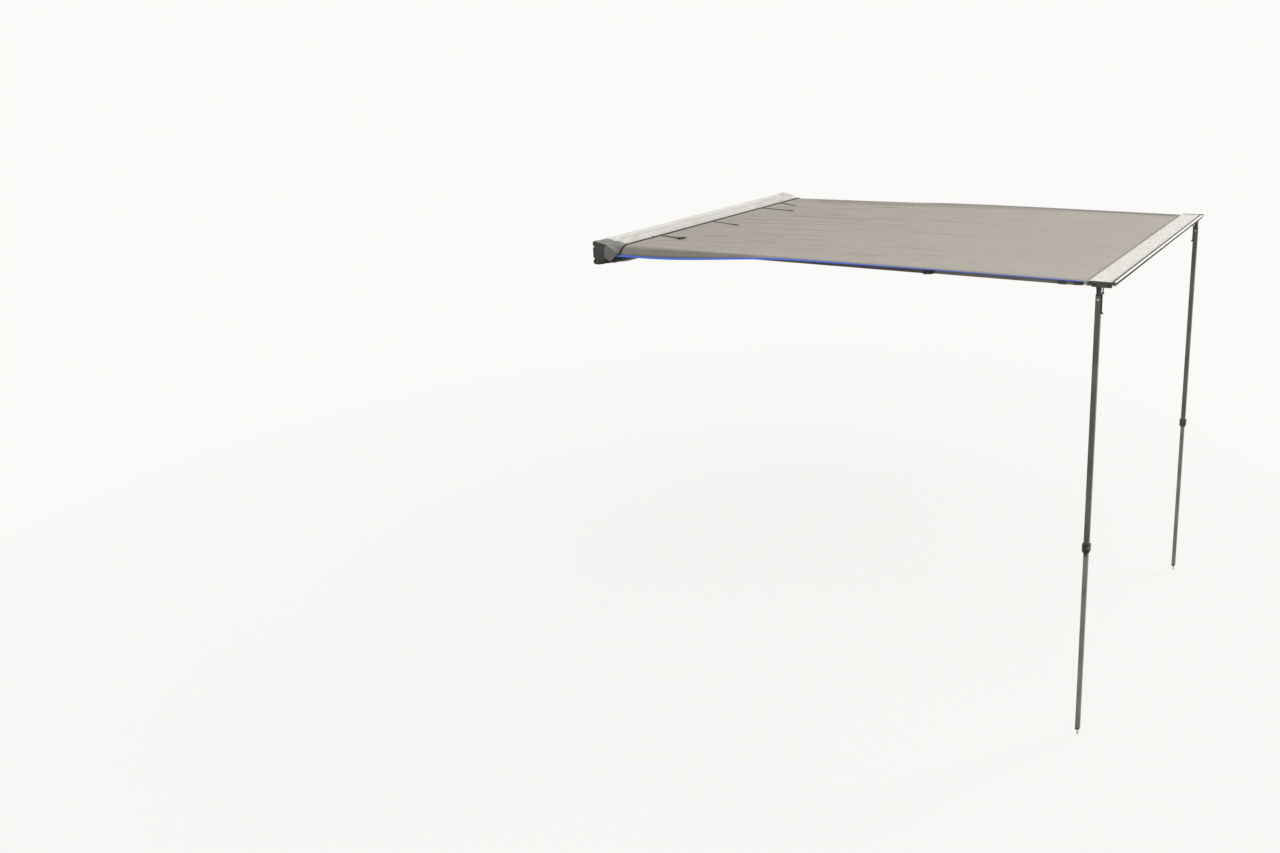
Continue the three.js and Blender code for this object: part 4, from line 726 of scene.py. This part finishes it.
lid_hem = band("bag_lid_hem", LID_WIDTH, (FLAP_FROM, FLAP_FROM + LID_HEM),
               lambda x, out: lid_up(x, out) + LID_HEM_LIFT, 300, 5, 0.9, bag_hem_cloth, (1786, LID_HEM))
lid_cord = straight_cord("bag_lid_edge_cord", FLAP_HALF - 13, EDGE_CORD_OUT, PLATE_HALF_HEIGHT - EDGE_CORD_IN,
                         EDGE_CORD_RADIUS, bag_hem_cloth)
lid_lines = [[(x, -out, lid_up(x, out) + lift)
              for x in np.linspace(-FLAP_HALF + 5, FLAP_HALF - 5, 150)] for out, lift in LID_STITCHES]
lid_threads = row_of("bag_lid_stitches", lid_lines, stitch, STITCH_PITCH, white_thread)
for piece in (lid, lid_hem, lid_cord, lid_threads):
    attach(piece, ROOT)

# Zip along the lid's front edge: tape, coil and slider
ZIP_OUT, ZIP_WIDTH, ZIP_DOWN = FLAP_OUT + 0.4, 7.8, 0.2
COIL_OUT = ZIP_OUT + ZIP_WIDTH / 2


def zip_up(x, out=ZIP_OUT):
    """The height of the zip's tape, which waves a little along the edge."""
    return flap_up(x, FLAP_OUT) - ZIP_DOWN + 0.5 * np.sin(x / 61)


zip_tape = band("bag_zip_tape", LID_WIDTH, (ZIP_OUT, ZIP_OUT + ZIP_WIDTH), zip_up, 300, 4, 1.1,
                zip_tape_cloth, (1786, ZIP_WIDTH))
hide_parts("bag_zip")
coil_line = [(x, -COIL_OUT, zip_up(x) + 1.0) for x in np.linspace(-FLAP_HALF + 7, FLAP_HALF - 7, 240)]
coil = row_of("bag_zip_coil", [coil_line], tooth, TOOTH_PITCH, zip_nylon)
BINDING_OUT, BINDING_LIFT, BINDING_RADIUS = FLAP_OUT - 0.8, 1.2, 2.1


def edge_binding(name, line):
    """The black tape wrapped over the edge of the lid's cloth, along (x, height) in mm."""
    points = [(x, -BINDING_OUT, up + BINDING_LIFT) for x, up in line]
    return tube(name, points, BINDING_RADIUS, zip_tape_cloth, 8)


binding_x = np.linspace(-FLAP_HALF, FLAP_HALF, 240)
lid_binding = edge_binding("bag_lid_binding", zip(binding_x, flap_up(binding_x, FLAP_OUT)))
SLIDER_X, SLIDER_OUT, SLIDER_LIFT = -716, 154.6, 2.4
slider_up = flap_up(SLIDER_X, FLAP_OUT) - ZIP_DOWN + SLIDER_LIFT


def rounded_slab(name, shape, x, out, low, high, bevel, material):
    """A plate with eased edges. shape is its outline from the place (x, out), in mm."""
    work = bmesh.new()
    base, top = ([work.verts.new(((x + dx) * MM, (dy - out) * MM, up * MM)) for dx, dy in shape]
                 for up in (low, high))
    work.faces.new(base[::-1])
    work.faces.new(top)
    for i in range(len(shape)):
        j = (i + 1) % len(shape)
        work.faces.new((base[i], base[j], top[j], top[i]))
    bmesh.ops.bevel(work, geom=work.edges, offset=bevel * MM, segments=2, affect="EDGES",
                    clamp_overlap=True)
    return link_solid(work, name, material)


# The slider and its pull: (outline, bottom, top, edge, finish)
SLIDES = {
    "bag_zip_slider": ([(-6, -3.8), (4, -5), (6, 0), (4, 5), (-6, 3.8)], 0, 2.4, 0.7, zinc_steel),
    "bag_zip_pull": ([(3, -2.4), (24, -4.8), (27, 0), (24, 4.8), (3, 2.4)], 2.6, 3.8, 0.5, black_nylon),
}
zip_pieces = [zip_tape, coil, lid_binding]
for name, (shape, low, high, edge, finish) in SLIDES.items():
    zip_pieces.append(rounded_slab(
        name, shape, SLIDER_X, SLIDER_OUT, slider_up + low, slider_up + high, edge, finish))
for piece in zip_pieces:
    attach(piece, ROOT)


def bag_end_up(out):
    """The height of the bag's very end, which folds down in front of the gusset."""
    back = lerp(BAG_END_UP, BAG_END_FOLD_UP, out / BAG_END_FOLD)
    front = lerp(BAG_END_FOLD_UP, BAG_END_FRONT_UP, (out - BAG_END_FOLD) / (FLAP_OUT - BAG_END_FOLD))
    return np.where(out < BAG_END_FOLD, back, front)


# Where the gusset and the tuck are along X, and how far the gusset starts below the corner's fold
GUSSET_X, TUCK_X, GUSSET_TOP = 997.8, 1000.6, 1.6
# The corner's gaps to the lid and to the end, its least height over the canopy, and its creases
CORNER_LID_GAP, CORNER_END_GAP, CORNER_CLEAR, CORNER_CREASES = 0.3, 0.4, 1.5, 0.9
for name, sign in SIDES.items():
    # The near corner and its tuck get the dark copy of the bag cloth as painted shade; the far corner keeps
    # the pale cloth.
    corner_finish = bag_corner_painted_shade_cloth if name == "left" else bag_cloth

    def corner_place(s, t):
        x = lerp(FLAP_HALF + CORNER_LID_GAP, LENGTH / 2 - CORNER_END_GAP, s)
        out = lerp(FLAP_FROM, FLAP_OUT, t)
        fall = np.clip(outside_arm(x, out), 0, 1) ** 1.1
        flat = flap_up(sign * FLAP_HALF, out) + flap_folds(sign * FLAP_HALF, out) * (1 - s)
        crease = 1.4 * np.sin(out / 9 + x / 13) * np.sin(np.pi * s) + 1.1 * np.sin(x / 6) * np.sin(np.pi * t)
        up = lerp(flat, bag_end_up(out), fall) + crease * np.sin(np.pi * s) ** 0.5 * CORNER_CREASES
        return sign * x, -out, np.maximum(up, canopy_base(x, out) + CORNER_CLEAR)
    corner = cloth(f"bag_corner_cloth_{name}", corner_place, 40, 48, 1.4, corner_finish, (108, 160))
    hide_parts(f"bag_corner_fold_{name}")

    def gusset_place(s, t):
        """t goes down the gusset, s from the plate out to its folded front edge."""
        back_out, front_out = lerp(FLAP_FROM, GUSSET_LOW_OUT, t), lerp(BAG_END_FOLD, GUSSET_DEEP_OUT, t)
        back_up = lerp(BAG_END_UP - GUSSET_TOP, -GUSSET_LOW, t)
        front_up = lerp(BAG_END_FOLD_UP - GUSSET_TOP, -GUSSET_DEEP, t)
        pleat = 1.5 * np.sin(t * 6 * np.pi + s * 1.5) * np.sin(np.pi * np.clip(s * 1.1, 0, 1))
        return sign * (GUSSET_X + pleat), -lerp(back_out, front_out, s), lerp(back_up, front_up, s)
    gusset = cloth(f"bag_gusset_cloth_{name}", gusset_place, 26, 48, 1.2, dark_cloth, (75, 90))
    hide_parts(f"bag_end_gusset_{name}")

    def tuck_place(s, t):
        """The corner's cloth folded down outside the gusset: s goes out along it, t down it."""
        top_out, top_up = lerp(BAG_END_FOLD - 2, FLAP_OUT, s), lerp(BAG_END_FOLD_UP, BAG_END_FRONT_UP, s) - 1
        low_out, low_up = lerp(*TUCK_LOW_OUT, s), lerp(*TUCK_LOW_UP, s)
        fold = 1.1 * np.sin(s * 7 + t * 3) * np.sin(np.pi * t) + 1.4 * np.sin(np.pi * t) * (1 - s)
        return sign * (TUCK_X + fold), -lerp(top_out, low_out, t ** 0.9), lerp(top_up, low_up, t)
    tuck = cloth(f"bag_corner_tuck_{name}", tuck_place, 24, 30, 1.2, corner_finish, (85, 62))

    def end_zip_place(s, t):
        x, _, up = corner_place(s, np.ones_like(s))
        return x, -lerp(ZIP_OUT, ZIP_OUT + ZIP_WIDTH, t), up - ZIP_DOWN
    end_zip = cloth(f"bag_corner_zip_{name}", end_zip_place, 40, 4, 1.1, zip_tape_cloth, (114, ZIP_WIDTH))
    steps = np.linspace(0, 1, 40)
    line_x, _, line_up = end_zip_place(steps, np.full_like(steps, 0.5))
    end_line = [(x, -COIL_OUT, up + 1.1) for x, up in zip(line_x, line_up)]
    end_coil = row_of(f"bag_corner_zip_coil_{name}", [end_line], tooth, TOOTH_PITCH, zip_nylon)
    end_x, _, end_up = corner_place(steps, np.ones_like(steps))
    end_binding = edge_binding(f"bag_corner_binding_{name}", zip(end_x, end_up))
    for piece in (corner, gusset, tuck, end_zip, end_coil, end_binding):
        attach(piece, ROOT)
        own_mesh(piece)


# The open pocket under the plate: its cloth runs from POCKET_START out, and turns up round a wide corner
POCKET_START, POCKET_BEND_OUT, POCKET_BELOW_PLATE, POCKET_ROUND = 10, 33, 2.1, 0.7
POCKET_HEM, POCKET_HEM_THICK, POCKET_SAG = 14, 0.8, 0.7


def pocket_line(x):
    """The middle of the pocket cloth at x, as (out, up) points from the plate round to its lip."""
    rise = POCKET_RISE * smoothstep(abs(x), POCKET_RISE_FROM, LENGTH / 2)
    start = -PLATE_HALF_HEIGHT - POCKET_BELOW_PLATE
    front, floor, lip = POCKET_OUT - BAG_CLOTH / 2, -POCKET_FLOOR - BAG_CLOTH / 2 + rise, -POCKET_LIP
    corner = (lip - floor) * POCKET_ROUND
    arc = [(front - corner + corner * math.cos(a), floor + corner + corner * math.sin(a))
           for a in np.linspace(-np.pi / 2, 0, 12)]
    return np.array([(POCKET_START, start), (POCKET_BEND_OUT, start), *arc, (front, lip)])


def pocket_place(s, t):
    x = lerp(-POCKET_HALF, POCKET_HALF, s)
    outs, ups = np.empty_like(x), np.empty_like(x)
    for column in range(x.shape[1]):
        line = pocket_line(x[0, column])
        steps = np.concatenate([[0], np.cumsum(np.linalg.norm(np.diff(line, axis=0), axis=1))])
        outs[:, column] = np.interp(t[:, column] * steps[-1], steps, line[:, 0])
        ups[:, column] = np.interp(t[:, column] * steps[-1], steps, line[:, 1])
    held = np.sin(np.pi * np.clip(t * 1.02, 0, 1))
    sag = -(1.5 + 1.3 * np.sin(x / 74) * np.sin(x / 203 + 1) + 0.9 * np.sin(x / 31 + 9 * t)) * held
    return x, -outs, ups + POCKET_SAG * sag


def pocket_hem_place(s, t):
    x, out = lerp(-POCKET_HALF, POCKET_HALF, s), np.full_like(s, POCKET_OUT + 0.7)
    return x, -out, lerp(-POCKET_LIP - 1, -POCKET_LIP - 1 - POCKET_HEM, t)


pocket = cloth("bag_pocket_cloth", pocket_place, 330, 26, 1.8, dark_cloth, (1990, 142))
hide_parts("bag_lower_pocket")
pocket_hem = cloth("bag_pocket_hem", pocket_hem_place, 200, 3, POCKET_HEM_THICK, zip_tape_cloth,
                   (1990, POCKET_HEM))
pocket_cord = straight_cord("bag_pocket_edge_cord", CORD_HALF, EDGE_CORD_OUT,
                            EDGE_CORD_IN - PLATE_HALF_HEIGHT, EDGE_CORD_RADIUS, dark_cloth)
for piece in (pocket, pocket_hem, pocket_cord):
    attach(piece, ROOT)


# Tie straps: (X at the bag, X that they run aside, width, reach past the lid)

STRAPS = {"a": (-610, -68, 25, 152), "b": (-100, -95, 12, 215),
          "c": (460, -70, 18, 240), "d": (704, -105, 14, 150)}
STRAP_TUCK, STRAP_THICK, STRAP_REST, STRAP_CURL, STRAP_WAVE = 12, 1.5, 0.5, 1.6, 0.5
BUCKLE_STRAP = "a"
for name, (start_x, slant, width, reach) in STRAPS.items():
    def strap_place(s, t):
        out = FLAP_OUT - STRAP_TUCK + t * (reach + STRAP_TUCK)
        x = start_x + slant * t + (s - 0.5) * width
        lift = (CANOPY_THICK + STRAP_THICK) / 2 + STRAP_REST
        curl = 0 if name == BUCKLE_STRAP else STRAP_CURL * smoothstep(t, 0.55, 1.0)
        wave = STRAP_WAVE * np.sin(9 * t) * smoothstep(t, 0.2, 0.5)
        return x, -out, canopy_up(x, out) + lift + np.maximum(curl + wave, 0)
    webbing = cloth(f"tie_webbing_{name}", strap_place, 8, 40, STRAP_THICK, black_webbing,
                    (width, reach + STRAP_TUCK))
    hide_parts(f"tie_strap_{name}")
    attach(webbing, ROOT)

# The prong half of a side-release buckle, on the end of the widest strap: (outline, bottom, top, edge)
PRONG = [(19, -15), (20.5, -26), (17.5, -34), (12.5, -33), (13.5, -26), (12, -15)]
BUCKLE = {
    "body": ([(-19, 0), (19, 0), (21, -3), (21, -13), (18, -16), (-18, -16), (-21, -13), (-21, -3)],
             0, 6.5, 1.2),
    "prong_left": ([(-dx, dy) for dx, dy in PRONG[::-1]], 0.8, 5.6, 0.9),
    "prong_right": (PRONG, 0.8, 5.6, 0.9),
    "guide": ([(-3, -15), (3, -15), (2.5, -27), (-2.5, -27)], 1.4, 5, 0.7),
}
start_x, slant, width, reach = STRAPS[BUCKLE_STRAP]
buckle_x, buckle_out = start_x + slant, FLAP_OUT + reach - 3
buckle_up = CANOPY_THICK / 2 + 0.35 + max(
    canopy_up(buckle_x + dx, buckle_out + dy) for dx in (-21, 21) for dy in (0, 34))
for name, (shape, low, high, edge) in BUCKLE.items():
    piece = rounded_slab(f"strap_buckle_{name}", shape, buckle_x, buckle_out,
                         buckle_up + low, buckle_up + high, edge, black_nylon)
    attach(piece, ROOT)


# Fasteners and small hardware

# The screws of the end caps: piece, cap, body, and each screw's place (out, up)
CAP_SCREWS = [
    ("plate_cap_screws", "plate_end_cap", ROOT, [(8, -12), (8, 12)]),
    ("rail_cap_screws", "rail_end_cap", RAIL, [(RAIL_INNER + 28, 42.5), (RAIL_INNER + 84, 42.5)]),
]
for name, cap, body, places in CAP_SCREWS:
    cap_low, cap_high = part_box(f"{cap}_left")
    face = max(abs(cap_low.x), abs(cap_high.x)) / MM
    spots = [((sign * face, -out, up), (sign, 0, 0)) for sign in SIDES.values() for out, up in places]
    piece = spots_of(name, spots, screw_head, black_zinc)
    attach(piece, body)

# Strips in the rail: (out from, out to), (low, high), finish, slot. The outer groove is filled with a silver
# cover strip. The black strips in the inner groove, on its lips, on the outer face and under the bead are
# painted shade: dark lines where the rail's groove and bead lie in shade.
RAIL_STRIPS = {
    "groove_cover": ((2493.1, 2495.9), (48.4, 52.9), silver_extrusion, "silver_aluminium"),
    "groove_rubber": ((2485.1, 2487.9), (48.4, 53.2), strap_rubber, "black_rubber"),
    "bead_rubber": ((2484.6, 2490.8), (53.0, 53.9), strap_rubber, "black_rubber"),
    "face_rubber": ((2499.4, 2500.8), (45.8, 49.2), strap_rubber, "black_rubber"),
    "under_bead": ((2494.5, 2498.6), (38.0, 43.9), strap_rubber, "black_rubber"),
}
STRIP_LENGTH, STRIP_EDGE = 1972, 0.35
for name, ((out_from, out_to), (low, high), finish, slot_name) in RAIL_STRIPS.items():
    strip = unit_box(f"rail_{name}", (STRIP_LENGTH, out_to - out_from, high - low), STRIP_EDGE)
    strip.data.transform(Matrix.Translation((0, -(out_from + out_to) / 2 * MM, (low + high) / 2 * MM)))
    strip.data.materials.append(finish)
    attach(strip, RAIL)


def tube_frame(start, end):
    """The place of a tube's own frame: across, back along the tube, and its turning axis."""
    back = (Vector(start) - Vector(end)).normalized()
    swing = Vector((1, 0, 0)).cross(back).normalized()
    turn = Matrix((back.cross(swing), back, swing)).transposed().to_4x4()
    return Matrix.Translation(Vector(start) * MM) @ turn


# Where the clamps are on their tubes: lever axis along and across, lever face, all in mm
CLAMP_AXIS = {"arm": (1658.6, 17.6, 16.2), "leg": (1104.5, 18.6, 17.2)}
CLAMP_HALF, RIB_FROM, RIB_TO, RIB_PITCH = 12.0, 20, 29.5, 2.3
RIB_LIFT, HEAD_RIVET_DOWN, HEAD_RIVET_OUT = 0.2, 53, 12.6
for name, sign in SIDES.items():
    up, out = ARM_PIVOT_UP[name], LEG_OUT[name]
    frames = {
        "arm": tube_frame((sign * ARM_PIVOT_X, -ARM_PIVOT_OUT, up),
                          (sign * ARM_TIP_X, -ARM_TIP_OUT, up + ARM_RISE)),
        "leg": tube_frame((sign * LEG_X, -out, LEG_PIVOT_UP), (sign * LEG_X, -out, FLOOR_Z / MM)),
    }
    for kind, placed in frames.items():
        along, across, face = CLAMP_AXIS[kind]
        rib_line = [(sign * (face + RIB_LIFT), -(along + at), 0) for at in (RIB_FROM, RIB_TO)]
        ribs = row_of(f"{kind}_lever_ribs_{name}", [rib_line], grip_rib, RIB_PITCH, black_nylon)
        pin_ends = [((sign * across, -along, z * CLAMP_HALF), (0, 0, z)) for z in (-1, 1)]
        caps = spots_of(f"{kind}_clamp_pin_{name}", pin_ends, pin_cap, zinc_steel)
        for piece, body, slot_name in ((ribs, f"{kind}_{name}_lever", "black_plastic"),
                                       (caps, f"{kind}_{name}", "zinc_steel")):
            piece.data.transform(placed)
            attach(piece, body)
    rivet_ends = [((x * HEAD_RIVET_OUT, -HEAD_RIVET_DOWN, 0), (x, 0, 0)) for x in (-1, 1)]
    rivets = spots_of(f"leg_head_rivets_{name}", rivet_ends, hollow_rivet, zinc_steel)
    rivets.data.transform(frames["leg"])
    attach(rivets, f"leg_{name}")

# The foot's spike, as (radius, height) from its point
SPIKE = [(0, -0.2), (0.8, 0.6), (2.2, 3.4), (3.45, 5.4), (3.5, 9.5), (2.9, 12), (2.9, 25.5), (4.2, 26.2),
         (4.2, 27.4), (0, 27.4)]
for name in SIDES:
    foot_low, foot_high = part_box(f"leg_foot_{name}")
    middle = (foot_low + foot_high) / 2
    spike = turned(f"leg_spike_{name}", SPIKE, zinc_steel, 18)
    spike.data.transform(Matrix.Translation((middle.x, middle.y, foot_low.z)))
    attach(spike, f"leg_{name}_inner")

for unit in UNITS:
    bpy.data.objects.remove(unit)


# Camera, light and floor

# Lamps: (place, target, side, watts), with places in metres
LAMPS = {
    "overhead": ((-3.0, -2.9, 3.6), (-0.3, -1.3, 0), 4.6, 95),
    "key": ((9.5, -9.0, 4.2), (0, -1.5, -0.3), 3.6, 1200),
}
AMBIENT = 0.42
WHITE_SURROUND = "#fbfaf8"
# The floor shows its shadows near the object and fades to white: middle, from, to, and share at the start
FLOOR_MIDDLE, FLOOR_FADE_FROM, FLOOR_FADE_TO, FLOOR_WHITE_SHARE = (0, -1.6, 0), 2.0, 6.5, 0.86


def set_camera():
    azimuth, dip, roll = CAMERA["azimuth"], CAMERA["dip"], CAMERA["roll"]
    ahead = Vector((-math.sin(azimuth) * math.cos(dip), math.cos(azimuth) * math.cos(dip), -math.sin(dip)))
    across = ahead.cross(Vector(UP)).normalized()
    upward = across.cross(ahead)
    turned_across = across * math.cos(roll) + upward * math.sin(roll)
    turned_up = -across * math.sin(roll) + upward * math.cos(roll)
    data = bpy.data.cameras.new("photo_camera")
    data.lens, data.sensor_width = CAMERA["lens"], 36
    data.shift_x, data.shift_y = CAMERA["shift"]
    data.clip_end = 200
    camera = add_object("photo_camera", data)
    camera.matrix_world = Matrix.Translation(CAMERA["place"]) @ Matrix(
        (turned_across, turned_up, -ahead)).transposed().to_4x4()
    bpy.context.scene.camera = camera


def area_light(name, place, target, size, watts):
    data = bpy.data.lights.new(name, "AREA")
    data.shape, data.size, data.energy = "SQUARE", size, watts
    lamp = add_object(name, data)
    lamp.location = place
    lamp.rotation_euler = (Vector(target) - Vector(place)).to_track_quat("-Z", "Y").to_euler()


def studio():
    """Two soft lamps, a pale floor that fades to white, and a white surround that is seen and reflected."""
    world = bpy.data.worlds.new("studio")
    bpy.context.scene.world = world
    world.use_nodes = True
    tree = world.node_tree
    tree.nodes.clear()
    rays = add_node(tree, "ShaderNodeLightPath").outputs
    seen = maths(tree, "MAXIMUM", rays["Is Camera Ray"], rays["Is Glossy Ray"])
    ambient = add_node(tree, "ShaderNodeBackground", {"Color": linear("#f4f3f1"), "Strength": AMBIENT})
    surround = add_node(tree, "ShaderNodeBackground", {"Color": linear(WHITE_SURROUND), "Strength": 1.0})
    mixed = mix_shaders(tree, seen, ambient.outputs["Background"], surround.outputs["Background"])
    add_node(tree, "ShaderNodeOutputWorld", {"Surface": mixed})

    for name, settings in LAMPS.items():
        area_light(name, *settings)

    bpy.ops.mesh.primitive_plane_add(size=160, location=(0, 0, FLOOR_Z))
    floor = bpy.context.object
    floor.name = "studio_floor"
    material, tree, shader = new_finish("pale_floor_paint", Roughness=0.9)
    shader.inputs["Base Color"].default_value = linear("#f3f2f0")
    shader.inputs["Specular IOR Level"].default_value = 0.1
    place = add_node(tree, "ShaderNodeTexCoord").outputs["Object"]
    away = add_node(tree, "ShaderNodeVectorMath", {0: place, 1: FLOOR_MIDDLE},
                    operation="DISTANCE").outputs["Value"]
    fade = add_node(tree, "ShaderNodeMapRange", {
        "Value": away, "From Min": FLOOR_FADE_FROM, "From Max": FLOOR_FADE_TO,
        "To Min": FLOOR_WHITE_SHARE}).outputs["Result"]
    rays = add_node(tree, "ShaderNodeLightPath").outputs
    seen = maths(tree, "MULTIPLY", fade, rays["Is Camera Ray"])
    white = add_node(tree, "ShaderNodeEmission", {"Color": linear(WHITE_SURROUND), "Strength": 1.0})
    mixed = mix_shaders(tree, seen, shader.outputs["BSDF"], white.outputs["Emission"])
    tree.links.new(mixed, tree.nodes["Material Output"].inputs["Surface"])
    floor.data.materials.append(material)
    floor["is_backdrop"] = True


set_camera()
studio()
bpy.context.scene.view_settings.view_transform = "Standard"

low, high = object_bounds()
